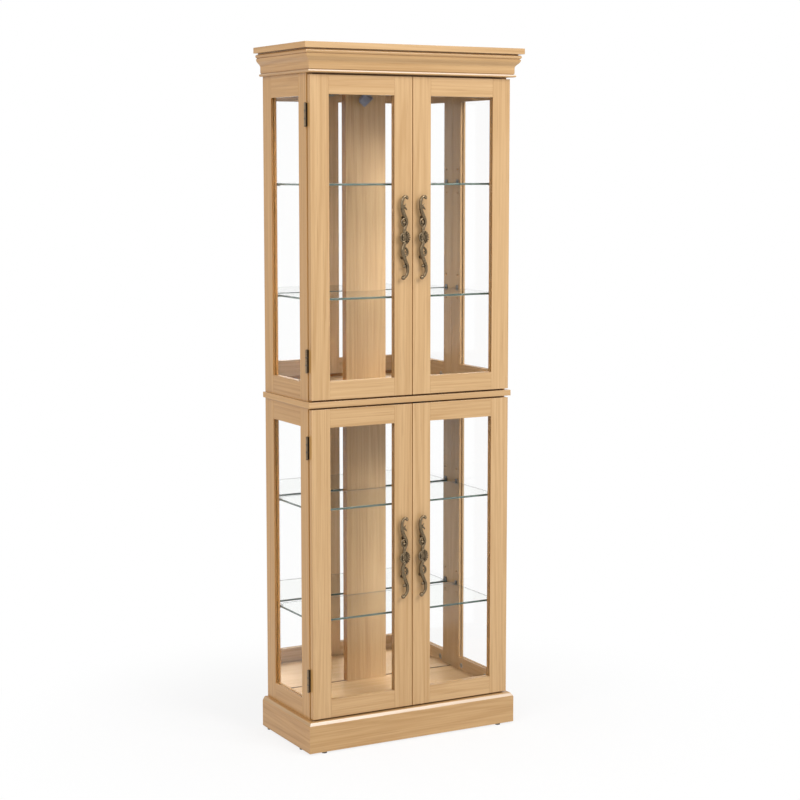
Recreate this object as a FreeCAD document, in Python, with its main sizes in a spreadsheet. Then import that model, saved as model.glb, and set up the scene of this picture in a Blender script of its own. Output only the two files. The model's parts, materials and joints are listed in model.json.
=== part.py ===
import FreeCAD, Part

import math
import os
import re

import Sketcher

# A free-standing glazed display cabinet: two glazed cases, one above the other, with a waist board between
# them, a moulded cornice, a plinth, four hinged glass doors, four glass shelves and a mirrored back.
# The origin is on the floor, under the middle of the cabinet. +Z is up, the doors face -Y. Sizes are in mm.

SIZES = {
    # Case
    "total_height": 1700,
    "case_width": 548,
    "case_depth": 244,
    "side_thickness": 16,
    "edge_ease": 1.0,
    # Top and cornice
    "top_thickness": 14,
    "top_overhang": 24.5,
    "top_rail_thickness": 22,
    "cornice_height": 55.5,
    "cornice_reach": 19,
    "cornice_band": 12,
    "cornice_step": 1.5,
    "cornice_neck": 6,
    "cornice_neck_height": 8,
    "cornice_bead_height": 7,
    "cornice_bead_fullness": 1.1,
    "ceiling_drop": 74,
    "ceiling_thickness": 14,
    # Waist board and floor
    "waist_level": 843,
    "waist_thickness": 14,
    "waist_overhang": 6.5,
    "waist_reach": 20,
    "floor_rise": 12,
    "floor_thickness": 14,
    # Plinth and feet
    "foot_height": 4,
    "foot_radius": 6.5,
    "foot_inset": 28,
    "plinth_height": 75,
    "plinth_thickness": 14.5,
    "plinth_round": 10,
    "bottom_rail_thickness": 16,
    # Side frames
    "side_front_stile": 42,
    "side_rear_stile": 48,
    "upper_side_low_rail": 46,
    "upper_side_high_rail": 108,
    "lower_side_rail_reveal": 45,
    "lower_side_high_rail": 49,
    # Doors
    "door_thickness": 16,
    "door_gap": 2.7,
    "door_reveal": 4.2,
    "door_inset": 1,
    "meeting_gap": 2,
    "door_stile": 49,
    "door_low_rail": 44,
    "door_high_rail": 45,
    # Glass in its grooves
    "pane_thickness": 4,
    "groove_depth": 7,
    "groove_play": 0.3,
    "pane_play": 1,
    # Back
    "mirror_thickness": 3,
    "back_thickness": 3,
    "back_lap": 8,
    "back_play": 0.5,
    "board_width": 113,
    "board_proud": 11,
    # Shelves and their supports
    "shelf_thickness": 5,
    "shelf_front_inset": 12,
    "shelf_rear_gap": 3,
    "shelf_end_gap": 3,
    "shelf_spacing": 272,
    "upper_shelf_rise": 239,
    "lower_shelf_rise": 224,
    "support_pitch": 30,
    "support_front_inset": 30,
    "support_rear_inset": 34,
    "support_pin_radius": 2.5,
    "support_pin_length": 8,
    "support_hole_depth": 9,
    "support_hole_play": 0.1,
    "support_width": 10,
    "support_thickness": 2,
    "support_tab": 13,
    "support_lug": 12,
    "support_pin_rise": 8,
    # Hinges
    "hinge_length": 54,
    "hinge_inset": 93,
    "leaf_thickness": 1.2,
    "leaf_width": 14,
    "knuckle_radius": 3,
    "knuckle_gap": 0.3,
    "hinge_pin_radius": 1.5,
    "hinge_pin_play": 0.05,
    "hinge_pin_head": 1.2,
    "hinge_pin_head_radius": 2.4,
    # Handles
    "handle_standoff": 11,
    "handle_spacing": 96,
    "handle_bar_radius": 2.9,
    "handle_post_radius": 4,
    "handle_ball_radius": 4.4,
    "handle_curl_bar_radius": 2.2,
    "handle_curl_radius": 5.5,
    "handle_curl_turn": 140,
    "handle_root": 12,
    "handle_lean_radius": 40,
    "handle_lean_turn": 25,
    "handle_sweep_radius": 36,
    "handle_sweep_turn": 65,
    "handle_neck_radius": 30,
    "handle_neck_turn": 55,
    "handle_hook_radius": 7.5,
    "handle_hook_turn": 200,
    "rosette_width": 28,
    "rosette_height": 35,
    "rosette_depth": 15,
    "screw_radius": 2,
    "screw_play": 0.3,
    "screw_head_radius": 4,
    "screw_head_height": 2,
    "screw_bite": 7,
    "thread_play": 0.05,
    # Magnet catches
    "catch_width": 32,
    "catch_depth": 18,
    "catch_height": 12,
    "catch_offset": 27,
    "strike_width": 20,
    "strike_height": 10,
    "strike_thickness": 1,
    "strike_gap": 0.3,
    "strike_drop": 3,
    # Case fittings
    "cam_radius": 7.5,
    "cam_depth": 10,
    "cam_play": 0.15,
    "cam_inset": 62,
    "cam_rise": 12,
    # Lamp
    "lamp_rear_gap": 24,
    "lamp_drop": 32,
    "lamp_left_shift": 13,
    "lamp_turn": 60,
    "lamp_tilt": 45,
    "canopy_radius": 20,
    "canopy_height": 5,
    "stem_radius": 3,
    "stem_height": 3,
    "yoke_thickness": 2,
    "yoke_width": 8,
    "yoke_play": 1,
    "can_radius": 16,
    "can_length": 24,
    "can_wall": 1.5,
    "can_mouth": 6,
    "can_taper": 6,
    "can_back_radius": 10,
    "trunnion_radius": 2,
    "trunnion_play": 0.05,
}

doc = FreeCAD.newDocument("display_cabinet")
sheet = doc.addObject("Spreadsheet::Sheet", "dims")
for row, (alias, value) in enumerate(SIZES.items(), start=1):
    sheet.set(f"A{row}", alias)
    sheet.set(f"B{row}", str(value))
    sheet.setAlias(f"B{row}", alias)
doc.recompute()

parts = {}


# Helpers: every size below is a text expression in the sheet's aliases

def bound(text):
    """The expression with the sheet's name before each alias."""
    return re.sub(r"[a-z][a-z_]*", lambda word: "dims." + word.group(0), text)


def number(text):
    return float(sheet.evalExpression(bound(text)))


def bind(item, places):
    for name, text in places.items():
        item.setExpression(name, bound(text))


def place(item, x="0", y="0", z="0"):
    bind(item, {"Placement.Base.x": x, "Placement.Base.y": y, "Placement.Base.z": z})


def keep(label, item):
    """Register a finished sub-part under the name of its file."""
    item.Label = label
    parts[label] = item
    return item


def extents(x, y, z):
    return {
        "Length": f"({x[1]}) - ({x[0]})",
        "Width": f"({y[1]}) - ({y[0]})",
        "Height": f"({z[1]}) - ({z[0]})",
    }


def slab(name, x, y, z):
    """A board between the low and high places given for each axis."""
    item = doc.addObject("Part::Box", name)
    bind(item, extents(x, y, z))
    place(item, x[0], y[0], z[0])
    return item


def rod(name, axis, start, radius, length):
    """A round bar that runs from its start along +X, +Y or +Z."""
    turns = {"x": ((0, 1, 0), 90), "y": ((1, 0, 0), -90), "z": ((0, 0, 1), 0)}
    direction, angle = turns[axis]
    item = doc.addObject("Part::Cylinder", name)
    bind(item, {"Radius": radius, "Height": length})
    item.Placement = FreeCAD.Placement(FreeCAD.Vector(), FreeCAD.Rotation(FreeCAD.Vector(*direction), angle))
    place(item, *start)
    return item


def join(name, items):
    item = doc.addObject("Part::MultiFuse", name)
    item.Shapes = items
    item.Refine = True
    return item


def cut(name, base, tools):
    item = doc.addObject("Part::Cut", name)
    item.Base = base
    item.Tool = tools[0] if len(tools) == 1 else join(name + "_tool", tools)
    return item


def group(name, items):
    item = doc.addObject("Part::Compound", name)
    item.Links = items
    return item


def sided(side, low, high):
    """A span of x, written for the right-hand side and turned over for the left."""
    if side == "right":
        return (low, high)
    return (f"-({high})", f"-({low})")


def eased_board(name, x, y, z):
    """A board whose edges are slightly rounded."""
    body = doc.addObject("PartDesign::Body", name)
    blank = body.newObject("PartDesign::AdditiveBox", name + "_blank")
    bind(blank, extents(x, y, z))
    doc.recompute()
    ease = body.newObject("PartDesign::Fillet", name + "_ease")
    ease.Base = (blank, [f"Edge{index + 1}" for index in range(len(blank.Shape.Edges))])
    bind(ease, {"Radius": "edge_ease"})
    place(body, x[0], y[0], z[0])
    return body


def arc_middle(start, end, radius, side):
    """The middle of an arc that bulges to the left (1) or right (-1) of the way from start to end."""
    chord = end - start
    rise = radius - math.sqrt(max(radius ** 2 - (chord.Length / 2) ** 2, 0))
    across = FreeCAD.Vector(-chord.y, chord.x, 0).normalize()
    return start + chord * 0.5 + across * (rise * side)


def outline(body, name, role, points, bends):
    """A closed sketch through the points. A bend gives the radius and side of the arc that leaves a point."""
    plane = next(feature for feature in body.Origin.OriginFeatures if feature.Role == role)
    sketch = body.newObject("Sketcher::SketchObject", name)
    sketch.AttachmentSupport = [(plane, "")]
    sketch.MapMode = "FlatFace"
    corners = [FreeCAD.Vector(number(u), number(v), 0) for u, v in points]
    ends = []
    for index, corner in enumerate(corners):
        following = corners[(index + 1) % len(corners)]
        if index in bends:
            radius, side = bends[index]
            middle = arc_middle(corner, following, number(radius), side)
            sketch.addGeometry(Part.Arc(corner, middle, following), False)
            ends.append((1, 2) if side < 0 else (2, 1))
        else:
            sketch.addGeometry(Part.LineSegment(corner, following), False)
            ends.append((1, 2))
    for index, (start, end) in enumerate(ends):
        following = (index + 1) % len(points)
        meeting = Sketcher.Constraint("Coincident", index, end, following, ends[following][0])
        sketch.addConstraint(meeting)
    for index, (u, v) in enumerate(points):
        for kind, text in (("DistanceX", u), ("DistanceY", v)):
            constraint = Sketcher.Constraint(kind, -1, 1, index, ends[index][0], number(text))
            row = sketch.addConstraint(constraint)
            sketch.setExpression(f"Constraints[{row}]", bound(text))
    for index, (radius, side) in bends.items():
        row = sketch.addConstraint(Sketcher.Constraint("Radius", index, number(radius)))
        sketch.setExpression(f"Constraints[{row}]", bound(radius))
    return sketch


def prism(name, role, points, bends, length):
    """A sketch on one of the body's own planes, padded to a length."""
    body = doc.addObject("PartDesign::Body", name)
    sketch = outline(body, name + "_outline", role, points, bends)
    pad = body.newObject("PartDesign::Pad", name + "_pad")
    pad.Profile = sketch
    bind(pad, {"Length": length})
    return body


# Places that several pieces share

rear = "((case_depth + top_rail_thickness + top_overhang) / 2)"
case_front = f"({rear} - case_depth)"
door_back = f"({case_front} - door_gap)"
door_front = f"({door_back} - door_thickness)"
back_front = f"({rear} - back_thickness)"
mirror_front = f"({back_front} - mirror_thickness)"
board_front = f"({mirror_front} - board_proud)"
side_out = "(case_width / 2)"
side_in = "(case_width / 2 - side_thickness)"
top_under = "(total_height - top_thickness)"
cornice_low = f"({top_under} - cornice_height)"
ceiling_level = f"({top_under} - ceiling_drop)"
ceiling_top = f"({ceiling_level} + ceiling_thickness)"
waist_top = "(waist_level + waist_thickness)"
plinth_top = "(foot_height + plinth_height)"
floor_level = f"({plinth_top} + floor_rise)"
floor_under = f"({floor_level} - floor_thickness)"
between_sides = (f"-{side_in}", side_in)
case_span = (f"-{side_out}", side_out)

SIDES = ("left", "right")
UNITS = {
    "upper": {"floor": waist_top, "ceiling": ceiling_level, "shelf_rise": "upper_shelf_rise"},
    "lower": {"floor": floor_level, "ceiling": "waist_level", "shelf_rise": "lower_shelf_rise"},
}


def shelf_levels(unit):
    """The undersides of a unit's two shelves."""
    first = f"({UNITS[unit]['floor']} + {UNITS[unit]['shelf_rise']})"
    return [first, f"({first} + shelf_spacing)"]


def support_places():
    """The depth of the front and rear shelf supports."""
    return [f"({case_front} + support_front_inset)", f"({rear} - support_rear_inset)"]


# Horizontal boards

top_front = f"({case_front} - top_rail_thickness - top_overhang)"
top_half = f"({side_out} + top_overhang)"
waist_half = f"({side_out} + waist_overhang)"
waist_front = f"({case_front} - waist_reach)"
keep("top_board", eased_board(
    "top_board", (f"-{top_half}", top_half), (top_front, rear), (top_under, "total_height")))
keep("waist_board", eased_board(
    "waist_board", (f"-{waist_half}", waist_half), (waist_front, rear), ("waist_level", waist_top)))
keep("ceiling_panel", slab(
    "ceiling_panel", between_sides, (case_front, back_front), (ceiling_level, ceiling_top)))
keep("floor_panel", slab(
    "floor_panel", between_sides, (case_front, back_front), (floor_under, floor_level)))
keep("top_front_rail", slab(
    "top_front_rail", case_span, (f"{case_front} - top_rail_thickness", case_front),
    (cornice_low, top_under)))
keep("bottom_front_rail", slab(
    "bottom_front_rail", case_span, (f"{case_front} - bottom_rail_thickness", case_front),
    ("foot_height", plinth_top)))


# Mouldings: a profile run along the front and both sides, mitred where they meet

def moulding(label, run, profile, bends, reach, rail, low, height):
    """One run of a moulding. The profile gives how far each point stands out, and its level."""
    front_in = f"({case_front} - {rail})"
    front_out = f"({front_in} - {reach})"
    side_reach = f"({side_out} + {reach})"
    if run == "front":
        points = [(f"{front_in} - ({out})", level) for out, level in profile]
        bar = prism(label + "_bar", "YZ_Plane", points, bends, f"2 * {side_reach}")
        place(bar, x=f"-{side_reach}")
        corners = [(f"-{side_reach}", front_out), (side_reach, front_out),
                   (side_out, front_in), (f"-{side_out}", front_in)]
    else:
        sign = "-" if run == "left" else ""
        points = [(f"{sign}({side_out} + {out})", level) for out, level in profile]
        bar = prism(label + "_bar", "XZ_Plane", points, bends, f"{rear} - {front_out}")
        place(bar, y=rear)
        corners = [(f"{sign}{side_reach}", front_out), (f"{sign}{side_reach}", rear),
                   (f"{sign}{side_out}", rear), (f"{sign}{side_out}", front_in)]
    plan = prism(label + "_plan", "XY_Plane", corners, {}, height)
    place(plan, z=low)
    item = doc.addObject("Part::Common", label)
    item.Base = bar
    item.Tool = plan
    return keep(label, item)


bead_radius = "(cornice_bead_height / 2 * cornice_bead_fullness)"
ogee_low = f"({cornice_low} + cornice_bead_height + cornice_neck_height)"
ogee_high = f"({top_under} - cornice_band)"
ogee_out = "(cornice_reach - cornice_step - cornice_neck)"
ogee_rise = f"({ogee_high} - {ogee_low})"
ogee_radius = f"(({ogee_out}^2 + {ogee_rise}^2) / (4 * {ogee_out}))"
ogee_middle = (f"cornice_neck + {ogee_out} / 2", f"({ogee_low} + {ogee_high}) / 2")
CORNICE_PROFILE = [
    ("0", cornice_low),
    ("cornice_neck", cornice_low),
    ("cornice_neck", f"{cornice_low} + cornice_bead_height"),
    ("cornice_neck", ogee_low),
    ogee_middle,
    ("cornice_reach - cornice_step", ogee_high),
    ("cornice_reach", ogee_high),
    ("cornice_reach", top_under),
    ("0", top_under),
]
PLINTH_PROFILE = [
    ("0", "foot_height"),
    ("plinth_thickness", "foot_height"),
    ("plinth_thickness", f"{plinth_top} - plinth_round"),
    ("plinth_thickness - plinth_round", plinth_top),
    ("0", plinth_top),
]
# The bulge of each arc, on a profile that stands out towards +X. On the front and the left the profile
# stands out the other way, so its arcs bulge to the other side of their path.
for run in ("front",) + SIDES:
    out = 1 if run == "right" else -1
    cornice_bends = {1: (bead_radius, -out), 3: (ogee_radius, out), 4: (ogee_radius, -out)}
    plinth_bends = {2: ("plinth_round", -out)}
    moulding(f"cornice_{run}", run, CORNICE_PROFILE, cornice_bends, "cornice_reach", "top_rail_thickness",
             cornice_low, "cornice_height")
    moulding(f"plinth_{run}", run, PLINTH_PROFILE, plinth_bends, "plinth_thickness", "bottom_rail_thickness",
             "foot_height", "plinth_height")

# Feet: plastic glides under the plinth boards

glide_front = f"({case_front} - bottom_rail_thickness - plinth_thickness / 2)"
glide_side = f"({side_out} + plinth_thickness / 2)"
glide_places = []
for sign in ("-", ""):
    glide_places.append((f"{sign}({side_out} - foot_inset)", glide_front))
    glide_places.append((f"{sign}{glide_side}", f"{case_front} + foot_inset"))
    glide_places.append((f"{sign}{glide_side}", f"{rear} - foot_inset"))
glides = [rod(f"foot_glide_{index}", "z", (x, y, "0"), "foot_radius", "foot_height")
          for index, (x, y) in enumerate(glide_places)]
keep("foot_glides", group("foot_glides", glides))


# Glazed frames: two stiles and two rails round a pane that sits in a groove

def glazed_frame(name, across, span, thick, height, stiles, rails, cuts):
    inner = (f"({span[0]} + {stiles[0]})", f"({span[1]} - {stiles[1]})")
    clear = (f"({height[0]} + {rails[0]})", f"({height[1]} - {rails[1]})")
    middle = f"(({thick[0]} + {thick[1]}) / 2)"

    def laid(along, through, up):
        return (along, through, up) if across == "x" else (through, along, up)

    def about_middle(half):
        return (f"{middle} - ({half})", f"{middle} + ({half})")

    groove = slab(f"{name}_groove", *laid(
        (f"{inner[0]} - groove_depth", f"{inner[1]} + groove_depth"),
        about_middle("pane_thickness / 2 + groove_play"),
        (f"{clear[0]} - groove_depth", f"{clear[1]} + groove_depth")))
    blanks = {
        "first_stile": laid((span[0], inner[0]), thick, height),
        "last_stile": laid((inner[1], span[1]), thick, height),
        "low_rail": laid(inner, thick, (height[0], clear[0])),
        "high_rail": laid(inner, thick, (clear[1], height[1])),
    }
    members = []
    for piece, spans in blanks.items():
        blank = slab(f"{name}_{piece}_blank", *spans)
        members.append(cut(f"{name}_{piece}", blank, [groove] + cuts.get(piece, [])))
    keep(f"{name}_frame", group(f"{name}_frame", members))
    pane = slab(f"{name}_glass", *laid(
        (f"{inner[0]} - groove_depth + pane_play", f"{inner[1]} + groove_depth - pane_play"),
        about_middle("pane_thickness / 2"),
        (f"{clear[0]} - groove_depth", f"{clear[1]} + groove_depth - pane_play")))
    keep(f"{name}_glass", pane)


def side_bore(name, side, y, z, radius, depth):
    """A blind bore into the inner face of a side frame."""
    start = sided(side, side_in, f"{side_in} + {depth}")[0]
    return rod(name, "x", (start, y, z), radius, depth)


cams = []
SIDE_RAILS = {
    "upper": ("upper_side_low_rail", "upper_side_high_rail"),
    "lower": ("(plinth_height + lower_side_rail_reveal)", "lower_side_high_rail"),
}
SIDE_HEIGHTS = {"upper": (waist_top, top_under), "lower": ("foot_height", "waist_level")}
for unit, spec in UNITS.items():
    for side in SIDES:
        name = f"{unit}_{side}_side"
        holes = []
        for number_of_hole, y in enumerate(support_places()):
            drilled = []
            for shelf, level in enumerate(shelf_levels(unit)):
                for step in (-1, 0, 1):
                    z = f"{level} + support_pin_rise + {step} * support_pitch"
                    drilled.append(side_bore(f"{name}_hole_{number_of_hole}_{shelf}_{step + 1}", side, y, z,
                                             "support_pin_radius + support_hole_play", "support_hole_depth"))
            holes.append(drilled)
        rebate = slab(f"{name}_rebate", sided(side, side_in, f"{side_in} + back_lap"), (mirror_front, rear),
                      SIDE_HEIGHTS[unit])
        cam_level = f"({spec['floor']} + cam_rise)"
        seats = []
        for index, y in enumerate((f"({case_front} + cam_inset)", f"({rear} - cam_inset)")):
            seats.append(side_bore(f"{name}_cam_seat_{index}", side, y, cam_level, "cam_radius + cam_play",
                                   "cam_depth"))
            cams.append(side_bore(f"{name}_cam_{index}", side, y, cam_level, "cam_radius", "cam_depth"))
        glazed_frame(name, "y", (case_front, rear), sided(side, side_in, side_out), SIDE_HEIGHTS[unit],
                     ("side_front_stile", "side_rear_stile"), SIDE_RAILS[unit],
                     {"first_stile": holes[0], "last_stile": holes[1] + [rebate], "low_rail": seats})
keep("cam_locks", group("cam_locks", cams))

# Back: a centre board with a mirror on each side of it, and a thin panel behind them

board_half = "(board_width / 2)"
tongue_half = "(board_width / 2 - back_lap)"
mirror_span = (f"{tongue_half} + back_play", f"{side_in} + back_lap - back_play")
panel_half = f"({side_in} + back_lap - back_play)"
PANEL_HEIGHTS = {"upper": (waist_top, top_under), "lower": (floor_under, "waist_level")}
for unit, spec in UNITS.items():
    height = (spec["floor"], spec["ceiling"])
    board = f"{unit}_back_board"
    face = slab(f"{board}_face", (f"-{board_half}", board_half), (board_front, mirror_front), height)
    tongue = slab(f"{board}_tongue", (f"-{tongue_half}", tongue_half), (mirror_front, back_front), height)
    keep(board, join(board, [face, tongue]))
    panel = f"{unit}_back_panel"
    keep(panel, slab(panel, (f"-{panel_half}", panel_half), (back_front, rear), PANEL_HEIGHTS[unit]))
    for side in SIDES:
        mirror = f"{unit}_{side}_mirror"
        keep(mirror, slab(mirror, sided(side, *mirror_span), (mirror_front, back_front),
                          (spec["floor"], f"{spec['ceiling']} - pane_play")))

# Shelves on four supports each

shelf_half = f"({side_in} - shelf_end_gap)"
shelf_depth = (f"{case_front} + shelf_front_inset", f"{board_front} - shelf_rear_gap")
supports = []
for unit in UNITS:
    for level, position in zip(shelf_levels(unit), ("low", "high")):
        shelf = f"{unit}_{position}_shelf"
        shelf_span = (f"-{shelf_half}", shelf_half)
        keep(shelf, slab(shelf, shelf_span, shelf_depth, (level, f"{level} + shelf_thickness")))
        for side in SIDES:
            for end, y in zip(("front", "rear"), support_places()):
                name = f"{unit}_{position}_{side}_{end}_support"
                width = (f"{y} - support_width / 2", f"{y} + support_width / 2")
                lug = slab(f"{name}_lug", sided(side, f"{side_in} - support_thickness", side_in), width,
                           (f"{level} - support_thickness", f"{level} + support_lug"))
                tab = slab(f"{name}_tab", sided(side, f"{side_in} - support_tab", side_in), width,
                           (f"{level} - support_thickness", level))
                pin = side_bore(f"{name}_pin", side, y, f"{level} + support_pin_rise", "support_pin_radius",
                                "support_pin_length")
                supports.append(join(name, [lug, tab, pin]))
keep("shelf_supports", group("shelf_supports", supports))


# Hinges: a frame leaf with two knuckles, a door leaf with one, and a pin through them

def hinge(name, side, level):
    low = f"({level} - hinge_length / 2)"
    third = "(hinge_length / 3)"
    axis_x = sided(side, f"{side_out} + knuckle_radius + knuckle_gap", "0")[0 if side == "right" else 1]
    axis_y = f"({case_front} - door_gap / 2)"
    plate = sided(side, f"{side_out} - leaf_width", side_out)
    tab = sided(side, side_out, f"{side_out} + knuckle_radius + knuckle_gap")
    spans = {
        "frame": [(low, f"{low} + {third} - knuckle_gap / 2"),
                  (f"{low} + 2 * {third} + knuckle_gap / 2", f"{low} + hinge_length")],
        "door": [(f"{low} + {third} + knuckle_gap / 2", f"{low} + 2 * {third} - knuckle_gap / 2")],
    }
    faces = {
        "frame": (f"{case_front} - leaf_thickness", case_front),
        "door": (door_back, f"{door_back} + leaf_thickness"),
    }
    leaves = {}
    for leaf, knuckles in spans.items():
        solids = [slab(f"{name}_{leaf}_plate", plate, faces[leaf], (low, f"{low} + hinge_length"))]
        for index, span in enumerate(knuckles):
            solids.append(slab(f"{name}_{leaf}_tab_{index}", tab, faces[leaf], span))
            solids.append(rod(f"{name}_{leaf}_knuckle_{index}", "z", (axis_x, axis_y, span[0]),
                              "knuckle_radius", f"({span[1]}) - ({span[0]})"))
        bore = rod(f"{name}_{leaf}_bore", "z", (axis_x, axis_y, low), "hinge_pin_radius + hinge_pin_play",
                   "hinge_length")
        leaves[leaf] = cut(f"{name}_{leaf}_leaf", join(f"{name}_{leaf}_blank", solids), [bore])
    pin_solids = [rod(f"{name}_shank", "z", (axis_x, axis_y, low), "hinge_pin_radius", "hinge_length")]
    for end, z in (("foot", f"{low} - hinge_pin_head"), ("head", f"{low} + hinge_length")):
        pin_solids.append(rod(f"{name}_pin_{end}", "z", (axis_x, axis_y, z), "hinge_pin_head_radius",
                              "hinge_pin_head"))
    return leaves["frame"], leaves["door"], join(f"{name}_pin", pin_solids)


# Handles: a cast scroll that curls both ways from a rosette, on two posts

def curled_wire(start, heading, bends):
    """Arcs that run on from one another in the door's plane, and where each ends. A left turn is positive."""
    edges = []
    joints = []
    point = start
    for radius, turn in bends:
        side = 1 if turn > 0 else -1
        centre = point + FreeCAD.Vector(-math.sin(heading), 0, math.cos(heading)) * (radius * side)

        def after(part):
            angle = heading + turn * part
            return centre + FreeCAD.Vector(math.sin(angle), 0, -math.cos(angle)) * (radius * side)

        edges.append(Part.Arc(point, after(0.5), after(1)).toShape())
        point = after(1)
        heading += turn
        joints.append((point, heading))
    return Part.Wire(edges), joints


def handle_shape():
    """The casting, with its middle on the door's face and its front towards -Y."""
    standoff = number("handle_standoff")
    up = FreeCAD.Vector(0, 0, 1)
    inwards = FreeCAD.Vector(0, 1, 0)

    def bend(name, side):
        return number(f"handle_{name}_radius"), side * math.radians(number(f"handle_{name}_turn"))

    root = FreeCAD.Vector(0, -standoff, number("handle_root"))
    bar_wire, joints = curled_wire(root, math.pi / 2, [bend("lean", -1), bend("sweep", 1), bend("neck", -1),
                                                       bend("hook", -1)])
    bar_section = Part.Wire(Part.makeCircle(number("handle_bar_radius"), root, up))
    bar = bar_wire.makePipeShell([bar_section], True, False)
    fork, fork_heading = joints[0]
    curl_wire, curl_joints = curled_wire(fork, fork_heading, [bend("curl", 1)])
    curl_way = FreeCAD.Vector(math.cos(fork_heading), 0, math.sin(fork_heading))
    curl_section = Part.Wire(Part.makeCircle(number("handle_curl_bar_radius"), fork, curl_way))
    curl = curl_wire.makePipeShell([curl_section], True, False)
    ball = number("handle_ball_radius")
    post_place = FreeCAD.Vector(0, -standoff, number("handle_spacing / 2"))
    post = Part.makeCylinder(number("handle_post_radius"), standoff, post_place, inwards)
    bore_depth = number("screw_bite + thread_play")
    bore_place = FreeCAD.Vector(0, -bore_depth, post_place.z)
    bore = Part.makeCylinder(number("screw_radius + thread_play"), bore_depth, bore_place, inwards)
    half = [bar, curl, post, Part.makeSphere(ball, joints[-1][0]), Part.makeSphere(ball, curl_joints[-1][0])]
    middle = FreeCAD.Vector(0, -standoff, 0)
    rosette = Part.makeSphere(1)
    swell = FreeCAD.Matrix()
    swell.scale(number("rosette_width / 2"), number("rosette_depth / 2"), number("rosette_height / 2"))
    rosette = rosette.transformGeometry(swell)
    rosette.translate(middle)
    turned = [solid.copy() for solid in half]
    for solid in turned:
        solid.rotate(middle, inwards, 180)
    other_bore = bore.copy()
    other_bore.rotate(middle, inwards, 180)
    return rosette.multiFuse(half + turned).cut(bore).cut(other_bore)


# Doors: frame, pane, handle with its screws, hinge leaves and the strike of the magnet catch

DOOR_HEIGHTS = {
    "upper": (f"({waist_top} + door_reveal)", f"({cornice_low} - door_reveal)"),
    "lower": (f"({plinth_top} + door_reveal)", "(waist_level - door_reveal)"),
}
casting = handle_shape()
frame_leaves = []
hinge_pins = []
catches = []
for unit, spec in UNITS.items():
    height = DOOR_HEIGHTS[unit]
    middle = f"(({height[0]} + {height[1]}) / 2)"
    catch_low = f"({spec['ceiling']} - catch_height)"
    for side in SIDES:
        name = f"{unit}_{side}_door"
        span = sided(side, "(meeting_gap / 2)", f"({side_out} - door_inset)")
        handle_x = sided(side, "(meeting_gap + door_stile) / 2", "0")[0 if side == "right" else 1]
        holes = []
        screws = []
        for end, sign in (("low", "-"), ("high", "+")):
            z = f"({middle} {sign} handle_spacing / 2)"
            holes.append(rod(f"{name}_screw_hole_{end}", "y", (handle_x, door_front, z),
                             "screw_radius + screw_play", "door_thickness"))
            shank = rod(f"{name}_screw_shank_{end}", "y", (handle_x, f"{door_front} - screw_bite", z),
                        "screw_radius", "door_thickness + screw_bite")
            head = rod(f"{name}_screw_head_{end}", "y", (handle_x, door_back, z), "screw_head_radius",
                       "screw_head_height")
            screws.append(join(f"{name}_screw_{end}", [shank, head]))
        meeting_stile = "first_stile" if side == "right" else "last_stile"
        glazed_frame(name, "x", span, (door_front, door_back), height, ("door_stile", "door_stile"),
                     ("door_low_rail", "door_high_rail"), {meeting_stile: holes})
        pull = doc.addObject("Part::Feature", f"{name}_casting")
        pull.Shape = casting
        pull_place = FreeCAD.Vector(number(handle_x), number(door_front), number(middle))
        pull.Placement = FreeCAD.Placement(pull_place, FreeCAD.Rotation())
        keep(f"{name}_handle", group(f"{name}_handle", [pull] + screws))
        door_leaves = []
        for end, level in (("low", f"({height[0]} + hinge_inset)"), ("high", f"({height[1]} - hinge_inset)")):
            frame_leaf, door_leaf, pin = hinge(f"{name}_{end}_hinge", side, level)
            frame_leaves.append(frame_leaf)
            door_leaves.append(door_leaf)
            hinge_pins.append(pin)
        keep(f"{name}_hinge_leaves", group(f"{name}_hinge_leaves", door_leaves))
        strike_front = f"({door_back} + strike_thickness)"
        strike_span = sided(side, "catch_offset - strike_width / 2", "catch_offset + strike_width / 2")
        strike_low = f"({catch_low} - strike_drop)"
        keep(f"{name}_strike", slab(f"{name}_strike", strike_span, (door_back, strike_front),
                                    (strike_low, f"{strike_low} + strike_height")))
        catch_span = sided(side, "catch_offset - catch_width / 2", "catch_offset + catch_width / 2")
        catch_front = f"({strike_front} + strike_gap)"
        catches.append(slab(f"{name}_catch", catch_span, (catch_front, f"{catch_front} + catch_depth"),
                            (catch_low, spec["ceiling"])))
keep("hinge_frame_leaves", group("hinge_frame_leaves", frame_leaves))
keep("hinge_pins", group("hinge_pins", hinge_pins))
keep("magnet_catches", group("magnet_catches", catches))

# Lamp: a small spotlight that tilts in a yoke under the ceiling panel, turned to the right

pivot_x = "(-lamp_left_shift)"
pivot_y = f"({board_front} - lamp_rear_gap)"
pivot_z = f"({ceiling_level} - lamp_drop)"
arm_in = "(can_radius + yoke_play)"
arm_out = "(can_radius + yoke_play + yoke_thickness)"
canopy_low = f"({ceiling_level} - canopy_height)"
bar_top = f"({canopy_low} - stem_height)"
yoke_depth = ("-yoke_width / 2", "yoke_width / 2")
lamp_turned = FreeCAD.Rotation(FreeCAD.Vector(0, 0, 1), number("lamp_turn"))
lamp_tilted = FreeCAD.Rotation(FreeCAD.Vector(1, 0, 0), -number("lamp_tilt"))
lamp_solids = [
    rod("lamp_canopy", "z", ("0", "0", canopy_low), "canopy_radius", "canopy_height"),
    rod("lamp_stem", "z", ("0", "0", bar_top), "stem_radius", "stem_height"),
    slab("lamp_bar", (f"-{arm_out}", arm_out), yoke_depth, (f"{bar_top} - yoke_thickness", bar_top)),
]
for side in SIDES:
    lamp_solids.append(slab(f"lamp_{side}_arm", sided(side, arm_in, arm_out), yoke_depth,
                            (f"{pivot_z} - yoke_width / 2", bar_top)))
yoke_bore = rod("lamp_yoke_bore", "x", (f"-{arm_out}", "0", pivot_z), "trunnion_radius + trunnion_play",
                f"2 * {arm_out}")
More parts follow.
